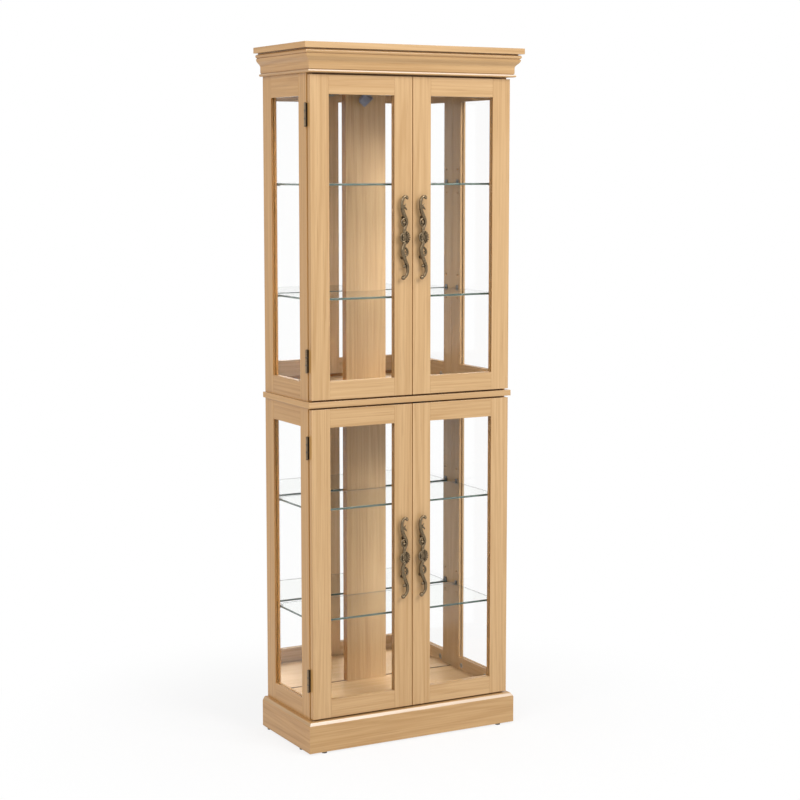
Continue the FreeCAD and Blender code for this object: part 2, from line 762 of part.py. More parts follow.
lamp_base = cut("lamp_base", join("lamp_base_blank", lamp_solids), [yoke_bore])
lamp_base.Placement = FreeCAD.Placement(FreeCAD.Vector(), lamp_turned)
place(lamp_base, x=pivot_x, y=pivot_y)
keep("lamp_base", lamp_base)

can_low = "(-can_length / 2)"
taper_low = "(can_length / 2 - can_taper)"
barrel = rod("lamp_barrel", "z", ("0", "0", can_low), "can_radius", "can_length - can_taper")
taper = doc.addObject("Part::Cone", "lamp_taper")
bind(taper, {"Radius1": "can_radius", "Radius2": "can_back_radius", "Height": "can_taper"})
place(taper, z=taper_low)
trunnion = rod("lamp_trunnion", "x", (f"-{arm_out}", "0", "0"), "trunnion_radius", f"2 * {arm_out}")
mouth = rod("lamp_mouth", "z", ("0", "0", can_low), "can_radius - can_wall", "can_mouth")
lamp_head = cut("lamp_head", join("lamp_head_blank", [barrel, taper, trunnion]), [mouth])
lamp_head.Placement = FreeCAD.Placement(FreeCAD.Vector(), lamp_turned.multiply(lamp_tilted))
place(lamp_head, x=pivot_x, y=pivot_y, z=pivot_z)
keep("lamp_head", lamp_head)

# Check everything, then write one file for each sub-part

doc.recompute()
failed = [item.Label for item in doc.Objects if {"Invalid", "Error"} & set(item.State)]
if failed:
    raise RuntimeError(f"these objects failed: {failed}")
for label, item in parts.items():
    if item.Shape.isNull() or not item.Shape.isValid():
        raise RuntimeError(f"{label} has no valid shape")
os.makedirs("parts", exist_ok=True)
for label, item in parts.items():
    item.Shape.exportStep(f"parts/{label}.step")
print(f"{len(parts)} sub-parts written")
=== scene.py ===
import json
import math

import bmesh
import bpy
from mathutils import Matrix, Vector


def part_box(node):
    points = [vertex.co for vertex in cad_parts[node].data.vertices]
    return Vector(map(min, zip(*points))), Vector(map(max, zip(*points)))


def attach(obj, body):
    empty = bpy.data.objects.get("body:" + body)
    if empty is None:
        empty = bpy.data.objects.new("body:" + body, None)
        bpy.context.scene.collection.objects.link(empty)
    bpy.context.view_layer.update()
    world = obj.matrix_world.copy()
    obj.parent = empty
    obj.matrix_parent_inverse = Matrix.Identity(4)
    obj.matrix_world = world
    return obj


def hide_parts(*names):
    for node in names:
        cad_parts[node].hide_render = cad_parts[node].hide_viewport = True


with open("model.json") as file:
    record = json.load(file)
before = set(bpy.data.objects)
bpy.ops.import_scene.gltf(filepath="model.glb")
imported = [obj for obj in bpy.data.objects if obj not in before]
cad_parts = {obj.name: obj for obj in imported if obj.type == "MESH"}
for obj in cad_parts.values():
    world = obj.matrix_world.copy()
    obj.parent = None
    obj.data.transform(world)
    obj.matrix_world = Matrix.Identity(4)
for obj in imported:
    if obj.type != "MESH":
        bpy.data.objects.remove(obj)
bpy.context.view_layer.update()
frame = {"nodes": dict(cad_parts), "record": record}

# Sizes of the fittings, in metres. Places come from the boxes of the CAD nodes.
MM = 0.001
X, Y, Z = 0, 1, 2
EDGE_EASE = 0.5 * MM
GROOVE_DEPTH = 7 * MM
GROOVE_HALF_WIDTH = 2.3 * MM
PANE_PLAY = 1 * MM
BACK_LAP = 8 * MM
SUPPORT_FRONT_INSET = 30 * MM
SUPPORT_REAR_INSET = 34 * MM
SUPPORT_PIN_RISE = 8 * MM
SUPPORT_PITCH = 30 * MM
SUPPORT_HOLE_RADIUS = 2.6 * MM
SUPPORT_HOLE_DEPTH = 9 * MM
CAM_RADIUS = 7.5 * MM
CAM_PLAY = 0.15 * MM
CAM_DEPTH = 10 * MM
CAM_INSET = 62 * MM
CAM_RISE = 12 * MM
DOOR_CHAMFER = 2 * MM
HINGE_INSET = 93 * MM
HINGE_LEAF_WIDTH = 14 * MM
HINGE_LEAF_THICKNESS = 1.2 * MM
HANDLE_STANDOFF = 11 * MM
HANDLE_SPACING = 96 * MM

UNITS = ("upper", "lower")
SHELVES = ("low", "high")
# The two sides, and the way along x that each one faces
SIDES = {"left": -1, "right": 1}

nodes_by_name = frame["nodes"]


# Materials

def start_material(name):
    """A material with one Principled shader, its node tree and that shader."""
    material = bpy.data.materials.new(name)
    material.use_nodes = True
    tree = material.node_tree
    shader = tree.nodes["Principled BSDF"]
    return material, tree, shader


def add(tree, kind, **settings):
    node = tree.nodes.new(kind)
    for key, value in settings.items():
        setattr(node, key, value)
    return node


def link(tree, source, target):
    tree.links.new(source, target)


def scaled(tree, vector, scale):
    """The vector times a scale for each axis."""
    node = add(tree, "ShaderNodeVectorMath", operation="MULTIPLY")
    link(tree, vector, node.inputs[0])
    node.inputs[1].default_value = scale
    return node.outputs[0]


def noise(tree, vector, scale, detail=2.0, roughness=0.5, distortion=0.0):
    node = add(tree, "ShaderNodeTexNoise")
    link(tree, vector, node.inputs["Vector"])
    node.inputs["Scale"].default_value = scale
    node.inputs["Detail"].default_value = detail
    node.inputs["Roughness"].default_value = roughness
    node.inputs["Distortion"].default_value = distortion
    return node.outputs[0]


def ramp(tree, value, low, high, out_low=0.0, out_high=1.0):
    """A smooth step of a value from one range to another."""
    node = add(tree, "ShaderNodeMapRange", interpolation_type="SMOOTHSTEP")
    link(tree, value, node.inputs[0])
    for socket, number in zip(node.inputs[1:5], (low, high, out_low, out_high)):
        socket.default_value = number
    return node.outputs[0]


def compute(tree, operation, first, second=None):
    node = add(tree, "ShaderNodeMath", operation=operation)
    for socket, value in zip(node.inputs, (first, second)):
        if value is None:
            continue
        if isinstance(value, (int, float)):
            socket.default_value = value
        else:
            link(tree, value, socket)
    return node.outputs[0]


def mixed(tree, factor, first, second):
    """A mix of two colours. Each is a socket or a colour."""
    node = add(tree, "ShaderNodeMix", data_type="RGBA")
    # Inputs 6 and 7 of this node are its colours, and output 2 is the mix of them
    for socket, value in ((node.inputs[0], factor), (node.inputs[6], first), (node.inputs[7], second)):
        if isinstance(value, tuple):
            socket.default_value = (*value, 1.0)
        else:
            link(tree, value, socket)
    return node.outputs[2]


def bump(tree, shader, height, distance, strength):
    node = add(tree, "ShaderNodeBump")
    link(tree, height, node.inputs["Height"])
    node.inputs["Distance"].default_value = distance
    node.inputs["Strength"].default_value = strength
    link(tree, node.outputs[0], shader.inputs["Normal"])


GRAIN_SHIFT = (3.1, 5.3, 7.7)


def object_place(tree):
    """The place of a point on its piece, shifted by an amount of its own for each piece."""
    coordinates = add(tree, "ShaderNodeTexCoord")
    info = add(tree, "ShaderNodeObjectInfo")
    shift = add(tree, "ShaderNodeVectorMath", operation="SCALE")
    shift.inputs[0].default_value = GRAIN_SHIFT
    link(tree, info.outputs["Random"], shift.inputs["Scale"])
    total = add(tree, "ShaderNodeVectorMath", operation="ADD")
    link(tree, coordinates.outputs["Object"], total.inputs[0])
    link(tree, shift.outputs[0], total.inputs[1])
    return total.outputs[0]


OAK_LIGHT = (0.62, 0.405, 0.205)
OAK_DARK = (0.455, 0.265, 0.11)
OAK_PORE = (0.31, 0.165, 0.06)
# Side oak: a darker, more orange copy of the oak for the faces that look sideways, painted shade
SIDE_LIGHT = (0.62, 0.345, 0.118)
SIDE_DARK = (0.43, 0.215, 0.062)
# Inside oak: a less saturated copy of the oak for the centre boards inside the cabinet, painted light
INSIDE_LIGHT = (0.60, 0.405, 0.215)
INSIDE_DARK = (0.44, 0.27, 0.12)
# Inner oak: a darker copy for the faces of the sides that look into the cabinet, painted shade
INNER_SHADE_LIGHT = (0.56, 0.37, 0.195)
INNER_SHADE_DARK = (0.41, 0.25, 0.11)
# Floor oak: a paler copy of the oak for the cabinet's floor, painted light
FLOOR_LIGHT = (0.70, 0.47, 0.25)
FLOOR_DARK = (0.54, 0.33, 0.15)
# Highlight oak: a pale copy of the oak that paints a highlight on the cornice's bead and the plinth's bevel
HIGHLIGHT_LIGHT = (0.78, 0.63, 0.49)
HIGHLIGHT_DARK = (0.68, 0.52, 0.38)
# Run oak: a darker copy for the front runs of the cornice and the plinth, painted shade
RUN_LIGHT = (0.575, 0.365, 0.172)
RUN_DARK = (0.42, 0.238, 0.092)
# Door-back oak: a paler copy for the faces of the doors that look into the cabinet, painted light
DOOR_BACK_LIGHT = (0.72, 0.51, 0.31)
DOOR_BACK_DARK = (0.53, 0.335, 0.17)
# Edge oak: a dark brown that paints the shade on edges that face away from the lamps and in the gaps, also used
# for the strips and battens
EDGE_LIGHT = (0.40, 0.19, 0.05)
EDGE_DARK = (0.28, 0.12, 0.028)
OAK_COAT = 0.6
FLOOR_COAT = 0.1
OAK_RELIEF = 0.12 * MM
# How often each part of the figure repeats in a metre, across the grain and along it
TONE_GRAIN = (9, 0.5)
RING_GRAIN = (16, 0.5)
STREAK_GRAIN = (210, 2.6)
FIBRE_GRAIN = (620, 9)
RING_COUNT = 80.0
# The part of each pattern's range that goes from light to dark
TONE_RANGE = (0.25, 0.75)
STREAK_RANGE = (0.30, 0.72)
RING_RANGE = (-0.4, 1)
PORE_RANGE = (0.58, 0.70)
# How much each part of the figure darkens the wood
TONE_SHARE = 0.34
STREAK_SHARE = 0.42
RING_SHARE = 0.24
PORE_SHARE = 0.34


def make_oak(name, grain_axis, light=OAK_LIGHT, dark=OAK_DARK, coat=OAK_COAT):
    """Lacquered oak. Its grain runs along one axis of the piece."""
    material, tree, shader = start_material(name)
    place = object_place(tree)

    def figure(repeats, **look):
        """Noise that is drawn out along the grain."""
        across, along = repeats
        stretch = tuple(along if axis == grain_axis else across for axis in (X, Y, Z))
        return noise(tree, scaled(tree, place, stretch), 1.0, **look)

    tone = figure(TONE_GRAIN)
    contours = figure(RING_GRAIN, detail=1.0, roughness=0.4, distortion=0.15)
    rings = compute(tree, "SINE", compute(tree, "MULTIPLY", contours, RING_COUNT))
    streaks = figure(STREAK_GRAIN, detail=3.0, roughness=0.6)
    fibres = figure(FIBRE_GRAIN, roughness=0.6)
    pores = ramp(tree, fibres, *PORE_RANGE)
    tone_shade = compute(tree, "MULTIPLY", ramp(tree, tone, *TONE_RANGE), TONE_SHARE)
    streak_shade = compute(tree, "MULTIPLY", ramp(tree, streaks, *STREAK_RANGE), STREAK_SHARE)
    ring_shade = compute(tree, "MULTIPLY", ramp(tree, rings, *RING_RANGE), RING_SHARE)
    shade = compute(tree, "ADD", compute(tree, "ADD", tone_shade, streak_shade), ring_shade)
    colour = mixed(tree, shade, light, dark)
    colour = mixed(tree, compute(tree, "MULTIPLY", pores, PORE_SHARE), colour, OAK_PORE)
    link(tree, colour, shader.inputs["Base Color"])
    link(tree, ramp(tree, streaks, 0.2, 0.8, 0.42, 0.56), shader.inputs["Roughness"])
    shader.inputs["Specular IOR Level"].default_value = 0.15
    shader.inputs["Coat Weight"].default_value = coat
    shader.inputs["Coat Roughness"].default_value = 0.2
    height = compute(tree, "SUBTRACT", compute(tree, "MULTIPLY", streaks, 0.4), pores)
    bump(tree, shader, height, OAK_RELIEF, 0.5)
    return material


PANE_LIGHT = 0.95


def make_glass(name, colour, refraction):
    """Clear glass that lets most of the lamps' light through to what is behind it."""
    material, tree, shader = start_material(name)
    shader.inputs["Base Color"].default_value = (*colour, 1.0)
    shader.inputs["Roughness"].default_value = 0.0
    shader.inputs["IOR"].default_value = refraction
    shader.inputs["Transmission Weight"].default_value = 1.0
    path = add(tree, "ShaderNodeLightPath")
    clear = add(tree, "ShaderNodeBsdfTransparent")
    clear.inputs["Color"].default_value = (*(PANE_LIGHT * part for part in colour), 1.0)
    choice = add(tree, "ShaderNodeMixShader")
    link(tree, path.outputs["Is Shadow Ray"], choice.inputs[0])
    link(tree, shader.outputs[0], choice.inputs[1])
    link(tree, clear.outputs[0], choice.inputs[2])
    link(tree, choice.outputs[0], tree.nodes["Material Output"].inputs["Surface"])
    return material


def make_glass_edge():
    """The ground edge of a shelf, green with the depth of glass behind it."""
    material, tree, shader = start_material("glass_edge")
    coordinates = add(tree, "ShaderNodeTexCoord")
    cloud = noise(tree, coordinates.outputs["Object"], 45.0, 3.0)
    link(tree, mixed(tree, cloud, (0.07, 0.105, 0.085), (0.125, 0.17, 0.14)), shader.inputs["Base Color"])
    shader.inputs["Roughness"].default_value = 0.18
    shader.inputs["Transmission Weight"].default_value = 0.25
    return material


def make_mirror():
    """Silvered glass with a very faint haze."""
    material, tree, shader = start_material("mirror_silver")
    coordinates = add(tree, "ShaderNodeTexCoord")
    haze = noise(tree, coordinates.outputs["Object"], 3.0, 2.0)
    shader.inputs["Base Color"].default_value = (0.985, 0.99, 0.99, 1.0)
    shader.inputs["Metallic"].default_value = 1.0
    link(tree, ramp(tree, haze, 0.3, 0.7, 0.0, 0.012), shader.inputs["Roughness"])
    return material


HOLLOW_REACH = 9 * MM
PATINA_RELIEF = 0.25 * MM


def make_bronze(name, gold, brown, roughness):
    """Antique bronze: brown in the hollows, rubbed to gold where it stands out."""
    material, tree, shader = start_material(name)
    coordinates = add(tree, "ShaderNodeTexCoord")
    hollow = add(tree, "ShaderNodeAmbientOcclusion", samples=8)
    hollow.inputs["Distance"].default_value = HOLLOW_REACH
    patina = noise(tree, coordinates.outputs["Object"], 320.0, 3.0, 0.6)
    open_part = ramp(tree, hollow.outputs["AO"], 0.5, 1.0)
    rubbed_and_highlit = compute(tree, "MULTIPLY", open_part, ramp(tree, patina, 0.25, 0.62, 0.45, 1.0))
    link(tree, mixed(tree, rubbed_and_highlit, brown, gold), shader.inputs["Base Color"])
    shader.inputs["Metallic"].default_value = 0.85
    link(tree, ramp(tree, rubbed_and_highlit, 0, 1, roughness + 0.22, roughness), shader.inputs["Roughness"])
    bump(tree, shader, patina, PATINA_RELIEF, 0.5)
    return material


GRIT_RELIEF = 0.05 * MM


def make_speckled(name, first, second, scale, roughness, metallic=0.0):
    """A plain material whose colour and surface vary a little at one scale."""
    material, tree, shader = start_material(name)
    coordinates = add(tree, "ShaderNodeTexCoord")
    grit = noise(tree, coordinates.outputs["Object"], scale, 4.0, 0.6)
    link(tree, mixed(tree, ramp(tree, grit, 0.3, 0.7), first, second), shader.inputs["Base Color"])
    link(tree, ramp(tree, grit, 0.2, 0.8, roughness - 0.06, roughness + 0.06), shader.inputs["Roughness"])
    shader.inputs["Metallic"].default_value = metallic
    bump(tree, shader, grit, GRIT_RELIEF, 0.6)
    return material


GRAIN_NAMES = {X: "width", Y: "depth", Z: "height"}


def make_oaks(name, axes, *colours):
    """One oak with its grain along each of some axes."""
    return {axis: make_oak(f"{name}_along_{GRAIN_NAMES[axis]}", axis, *colours) for axis in axes}


oak = make_oaks("oak", (X, Y, Z))
# Faces that look sideways get a darker copy: painted shade
side_shaded_oak = make_oaks("side_shaded_oak", (Y, Z), SIDE_LIGHT, SIDE_DARK)
# Faces of the sides that look into the cabinet get a darker copy: painted shade
inner_shaded_oak = make_oaks("inner_shaded_oak", (Y, Z), INNER_SHADE_LIGHT, INNER_SHADE_DARK)
# Faces of the doors that look into the cabinet get a paler copy: painted light
lit_door_back_oak = make_oaks("lit_door_back_oak", (X, Z), DOOR_BACK_LIGHT, DOOR_BACK_DARK)
# A darker copy of the oak for the front mouldings: painted shade
shaded_run_oak = make_oak("shaded_run_oak_along_width", X, RUN_LIGHT, RUN_DARK)
# A pale copy of the oak: painted highlight
highlight_oak = make_oak("painted_highlight_oak_along_width", X, HIGHLIGHT_LIGHT, HIGHLIGHT_DARK)
# A copy of the oak toned for the light inside: painted light
inside_lit_oak = make_oak("inside_lit_oak_along_height", Z, INSIDE_LIGHT, INSIDE_DARK)
# A paler copy of the oak for the floor: painted light
lit_floor_oak = make_oak("lit_floor_oak_along_width", X, FLOOR_LIGHT, FLOOR_DARK, FLOOR_COAT)
# Dark oak for edges in shadow: painted shade
shaded_edge_oak = make_oak("oak_painted_shade_edge", Z, EDGE_LIGHT, EDGE_DARK)
# Strip oak in the dark edge colours: painted shade in the gaps
shaded_batten_oak = make_oak("shaded_batten_oak_along_width", X, EDGE_LIGHT, EDGE_DARK)
clear_glass = make_glass("clear_glass", (1.0, 1.0, 1.0), refraction=1.16)
shelf_glass = make_glass("shelf_glass", (0.94, 0.955, 0.935), refraction=1.4)
glass_edge = make_glass_edge()
mirror_silver = make_mirror()
handle_bronze = make_bronze("handle_bronze", (0.23, 0.165, 0.095), (0.010, 0.006, 0.003), roughness=0.2)
hinge_bronze = make_bronze("hinge_bronze", (0.24, 0.18, 0.115), (0.05, 0.035, 0.02), roughness=0.38)
hardboard = make_speckled("hardboard", (0.34, 0.22, 0.12), (0.42, 0.28, 0.16),
                          scale=260, roughness=0.7)
steel = make_speckled("zinc_steel", (0.38, 0.37, 0.34), (0.48, 0.47, 0.44),
                      scale=180, roughness=0.34, metallic=0.9)
dark_plastic = make_speckled("dark_plastic", (0.05, 0.048, 0.045), (0.075, 0.07, 0.065),
                             scale=900, roughness=0.5)
grey_plastic = make_speckled("grey_plastic", (0.15, 0.145, 0.135), (0.21, 0.20, 0.185),
                             scale=900, roughness=0.42)
# Dark brown felt, which also paints the shadow line at the foot of the mirrors
felt_and_shadow = make_speckled("brown_felt_and_shadow", (0.14, 0.08, 0.042), (0.20, 0.115, 0.06),
                     scale=1400, roughness=0.9)
lamp_paint = make_speckled("lamp_paint", (0.20, 0.225, 0.315), (0.25, 0.275, 0.365),
                           scale=700, roughness=0.38)
frosted_glass = make_speckled("frosted_glass", (0.78, 0.74, 0.66), (0.84, 0.80, 0.72),
                              scale=900, roughness=0.4)


def dress(node, material):
    """A CAD node keeps its shape and gets a material."""
    piece = nodes_by_name[node]
    for slot in piece.material_slots:
        slot.material = material
    if not piece.material_slots:
        piece.data.materials.append(material)


# Making pieces

def finish_mesh(name, mesh_builder, materials):
    """A new piece from a bmesh."""
    mesh = bpy.data.meshes.new(name)
    bmesh.ops.recalc_face_normals(mesh_builder, faces=mesh_builder.faces)
    mesh_builder.to_mesh(mesh)
    mesh_builder.free()
    for material in materials:
        mesh.materials.append(material)
    piece = bpy.data.objects.new(name, mesh)
    bpy.context.scene.collection.objects.link(piece)
    return piece


def bored(mesh, bores):
    """A mesh with blind bores cut along x. A bore is its centre on the face, its radius and its depth."""
    builder = bmesh.new()
    for place, radius, depth in bores:
        add_cylinder(builder, place, X, radius, 2 * depth)
    cutter = finish_mesh("cutter", builder, [])
    blank = bpy.data.objects.new("blank", mesh)
    bpy.context.scene.collection.objects.link(blank)
    modifier = blank.modifiers.new("bores", "BOOLEAN")
    modifier.operation = "DIFFERENCE"
    modifier.solver = "EXACT"
    modifier.object = cutter
    graph = bpy.context.evaluated_depsgraph_get()
    cut = bpy.data.meshes.new_from_object(blank.evaluated_get(graph))
    bpy.data.objects.remove(blank)
    bpy.data.objects.remove(cutter)
    bpy.data.meshes.remove(mesh)
    return cut


def rectangle(first, second):
    """The outline between two limits along one axis and two along another."""
    return [(first[0], second[0]), (first[1], second[0]), (first[1], second[1]), (first[0], second[1])]


def eased_bar(outline, plane, span, ease=EDGE_EASE):
    """A bar with eased edges. Its section is an outline in two axes, and it runs along the third axis."""
    first, second, along = plane
    builder = bmesh.new()
    rings = []
    for end in span:
        ring = []
        for u, v in outline:
            place = Vector()
            place[first] = u
            place[second] = v
            place[along] = end
            ring.append(builder.verts.new(place))
        rings.append(ring)
    start, finish = rings
    builder.faces.new(start)
    builder.faces.new(finish)
    for index in range(len(outline)):
        following = (index + 1) % len(outline)
        builder.faces.new((start[index], start[following], finish[following], finish[index]))
    bmesh.ops.recalc_face_normals(builder, faces=builder.faces)
    bmesh.ops.bevel(builder, geom=builder.edges[:], offset=ease, offset_type="OFFSET", segments=2,
                    profile=0.5, affect="EDGES", clamp_overlap=True)
    return builder


def add_bar(builder, bar, material_index=0, bores=()):
    """Bore a bar, give it one material of the piece, and add it to the piece."""
    mesh = bpy.data.meshes.new("bar")
    bar.to_mesh(mesh)
    bar.free()
    if bores:
        mesh = bored(mesh, bores)
    for polygon in mesh.polygons:
        polygon.material_index = material_index
    builder.from_mesh(mesh)
    bpy.data.meshes.remove(mesh)


def add_turned(builder, centre, direction, profile, segments):
    """A closed turned form about a direction. Its profile gives radii and heights in mm, from tip to tail."""
    axis = Vector(direction).normalized()
    first = axis.orthogonal().normalized()
    second = axis.cross(first)
    rings = []
    turns = [math.tau * step / segments for step in range(segments)]
    for radius, height in profile:
        middle = Vector(centre) + axis * (height * MM)
        if radius == 0:
            rings.append([builder.verts.new(middle)])
            continue
        spokes = [(first * math.cos(turn) + second * math.sin(turn)) * (radius * MM) for turn in turns]
        rings.append([builder.verts.new(middle + spoke) for spoke in spokes])
    for ring, following in zip(rings, rings[1:]):
        for step in range(segments):
            after = (step + 1) % segments
            corners = [ring[step % len(ring)], ring[after % len(ring)],
                       following[after % len(following)], following[step % len(following)]]
            builder.faces.new(list(dict.fromkeys(corners)))


def grooved(low, high, thin, groove_at_high):
    """A bar's section: across its width first, through its thickness second, with a groove in one edge."""
    middle = (thin[0] + thin[1]) / 2
    edge = high if groove_at_high else low
    inwards = -GROOVE_DEPTH if groove_at_high else GROOVE_DEPTH
    notch = [
        (edge, middle - GROOVE_HALF_WIDTH),
        (edge + inwards, middle - GROOVE_HALF_WIDTH),
        (edge + inwards, middle + GROOVE_HALF_WIDTH),
        (edge, middle + GROOVE_HALF_WIDTH),
    ]
    other = low if groove_at_high else high
    return [(other, thin[0]), (edge, thin[0]), *notch, (edge, thin[1]), (other, thin[1])]


# Places in a frame's list of woods, and the copy with painted light or shade that a face of a stile or a rail
# changes to
STILES, RAILS, INNER_EDGES, PAINTED_LIGHT_STILES, PAINTED_LIGHT_RAILS, OUTER_EDGES = range(6)
PAINTED_LIGHT_FACES = {STILES: PAINTED_LIGHT_STILES, RAILS: PAINTED_LIGHT_RAILS}
EDGE_FACING = 0.5
PAINTED_LIGHT_FACING = 0.8


def glazed_frame(name, across, woods, shaped, painted_light_way, bores=()):
    """Two stiles and two rails round the pane of a door or a side.

    The woods are in the order of the places above. The face that looks the way given gets a copy of its wood
    with painted light or shade, and only a door has outer edges. The shaping turns the sections of the first and
    the last stile into their final ones. A bore goes into the bar that it is on.
    """
    through = Y if across == X else X
    low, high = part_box(f"{name}_frame")
    pane_low, pane_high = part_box(f"{name}_glass")
    inset = GROOVE_DEPTH - PANE_PLAY
    inner = (pane_low[across] + inset, pane_high[across] - inset)
    clear = (pane_low.z + GROOVE_DEPTH, pane_high.z - inset)
    thin = (low[through], high[through])
    upright = (across, through, Z)
    lying = (Z, through, across)
    height = (low.z, high.z)
    first = grooved(low[across], inner[0], thin, True)
    last = grooved(inner[1], high[across], thin, False)
    first, last = shaped(first, last)
    first_bores = [bore for bore in bores if bore[0][across] < inner[0]]
    last_bores = [bore for bore in bores if bore[0][across] > inner[1]]
    rail_bores = [bore for bore in bores if inner[0] < bore[0][across] < inner[1]]
    builder = bmesh.new()
    add_bar(builder, eased_bar(first, upright, height), STILES, first_bores)
    add_bar(builder, eased_bar(last, upright, height), STILES, last_bores)
    add_bar(builder, eased_bar(grooved(low.z, clear[0], thin, True), lying, inner), RAILS, rail_bores)
    add_bar(builder, eased_bar(grooved(clear[1], high.z, thin, False), lying, inner), RAILS)
    stile_planes = [(inner[0], 1, INNER_EDGES), (inner[1], -1, INNER_EDGES)]
    if across == X:
        stile_planes += [(low[across], -1, OUTER_EDGES), (high[across], 1, OUTER_EDGES)]
    builder.normal_update()
    for face in builder.faces:
        for plane, facing, wood in stile_planes:
            near = abs(face.calc_center_median()[across] - plane) < GROOVE_DEPTH + EDGE_EASE
            if face.material_index == STILES and near and face.normal[across] * facing > EDGE_FACING:
                face.material_index = wood
        if face.material_index in PAINTED_LIGHT_FACES and face.normal[through] * painted_light_way > PAINTED_LIGHT_FACING:
            face.material_index = PAINTED_LIGHT_FACES[face.material_index]
    piece = finish_mesh(f"{name}_joinery", builder, woods)
    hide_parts(f"{name}_frame")
    return piece


AXIS_TURNS = {X: Matrix.Rotation(math.pi / 2, 4, "Y"), Y: Matrix.Rotation(-math.pi / 2, 4, "X")}
CYLINDER_SEGMENTS = 24


def add_cylinder(builder, centre, axis, radius, length, radius_end=None):
    """A closed cylinder or cone about a centre, along x or y."""
    bmesh.ops.create_cone(
        builder, cap_ends=True, segments=CYLINDER_SEGMENTS, radius1=radius,
        radius2=radius if radius_end is None else radius_end, depth=length,
        matrix=Matrix.Translation(centre) @ AXIS_TURNS[axis])


# Case: hidden boards keep their CAD shape, the glazed frames get eased members and their bores

for board in ("ceiling_panel", "top_front_rail", "bottom_front_rail"):
    dress(board, oak[X])
dress("floor_panel", lit_floor_oak)
for unit in UNITS:
    dress(f"{unit}_back_panel", hardboard)
    for side in SIDES:
        dress(f"{unit}_{side}_mirror", mirror_silver)
        dress(f"{unit}_{side}_side_glass", clear_glass)
        dress(f"{unit}_{side}_door_glass", clear_glass)
        dress(f"{unit}_{side}_door_hinge_leaves", hinge_bronze)
        dress(f"{unit}_{side}_door_strike", steel)
dress("hinge_frame_leaves", hinge_bronze)
dress("hinge_pins", hinge_bronze)
dress("shelf_supports", grey_plastic)
dress("magnet_catches", dark_plastic)
dress("foot_glides", dark_plastic)
dress("lamp_base", lamp_paint)
dress("lamp_head", lamp_paint)

case_low, case_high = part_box("upper_right_side_frame")
case_front = case_low.y
case_rear = case_high.y
side_inner = case_low.x
side_outer = case_high.x
mirror_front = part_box("upper_right_mirror")[0].y
support_depths = (case_front + SUPPORT_FRONT_INSET, case_rear - SUPPORT_REAR_INSET)
cam_depths = (case_front + CAM_INSET, case_rear - CAM_INSET)
cam_levels = {"upper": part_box("waist_board")[1].z + CAM_RISE, "lower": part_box("floor_panel")[1].z + CAM_RISE}


def side_rebate(sign):
    """Take the rebate for the back out of a rear stile's section."""
    inner_face = sign * side_inner
    rebate_face = sign * (side_inner + BACK_LAP)

    def rebated(front_stile, rear_stile):
        corner = next(index for index, (u, v) in enumerate(rear_stile)
                      if abs(u - case_rear) < EDGE_EASE and abs(v - inner_face) < EDGE_EASE)
        notch = [(mirror_front, inner_face), (mirror_front, rebate_face), (case_rear, rebate_face)]
        coming_from_rear = abs(rear_stile[corner - 1][0] - case_rear) < EDGE_EASE
        notch = notch[::-1] if coming_from_rear else notch
        return front_stile, rear_stile[:corner] + notch + rear_stile[corner + 1:]

    return rebated


def hinge_chamfer(sign):
    """Take the corner off the back of a door's hinge stile, where it turns past the case."""

    def chamfered(first, last):
        stile = last if sign > 0 else first
        hinge_edge, back = stile[-1]
        stile = stile[:-1] + [(hinge_edge - sign * DOOR_CHAMFER, back), (hinge_edge, back - DOOR_CHAMFER)]
        return (first, stile) if sign > 0 else (stile, last)

    return chamfered


for unit in UNITS:
    for side, sign in SIDES.items():
        face = sign * side_inner
        bores = []
        for shelf in SHELVES:
            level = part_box(f"{unit}_{shelf}_shelf")[0].z + SUPPORT_PIN_RISE
            for depth in support_depths:
                for step in (-1, 0, 1):
                    place = Vector((face, depth, level + step * SUPPORT_PITCH))
                    bores.append((place, SUPPORT_HOLE_RADIUS, SUPPORT_HOLE_DEPTH))
        for depth in cam_depths:
            bores.append((Vector((face, depth, cam_levels[unit])), CAM_RADIUS + CAM_PLAY, CAM_DEPTH))
        # The left side's inner edges get the dark edge oak, painted shade; the right side's keep the plain oak
        inner_edge = oak[Z] if side == "right" else shaded_edge_oak
        # Outer faces in the side oak and inward faces in the inner oak, both copies with painted shade
        side_woods = [side_shaded_oak[Z], side_shaded_oak[Y], inner_edge, inner_shaded_oak[Z], inner_shaded_oak[Y]]
        side_piece = glazed_frame(f"{unit}_{side}_side", Y, side_woods, side_rebate(sign), -sign, bores)
        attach(side_piece, "cabinet")
        # A door's inner edges are in the dark edge oak, painted shade; its inward faces in the door-back oak,
        # painted light; its outer edges in the side oak, painted shade
        door_woods = [oak[Z], oak[X], shaded_edge_oak, lit_door_back_oak[Z], lit_door_back_oak[X], side_shaded_oak[Z]]
        door_piece = glazed_frame(f"{unit}_{side}_door", X, door_woods, hinge_chamfer(sign), 1)
        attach(door_piece, f"{unit}_{side}_door")


# Boards that show: the top and the waist with veneered ends in the side oak, a copy with painted shade, and the
# back's centre boards with edges darkened by painted shade

BOARD_EASE = 0.7 * MM
BOARD_END_FACING = 0.8
TONGUE_PLAY = 0.5 * MM
TONGUE_HALF_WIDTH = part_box("upper_right_mirror")[0].x - TONGUE_PLAY


def show_board(board, section, plane, span, woods):
    """An eased board whose faces towards the left and the right are of the second wood."""
    builder = bmesh.new()
    add_bar(builder, eased_bar(section, plane, span, BOARD_EASE))
    builder.normal_update()
    for face in builder.faces:
        face.material_index = 1 if abs(face.normal.x) > BOARD_END_FACING else 0
    piece = finish_mesh(f"{board}_plank", builder, woods)
    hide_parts(board)
    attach(piece, "cabinet")


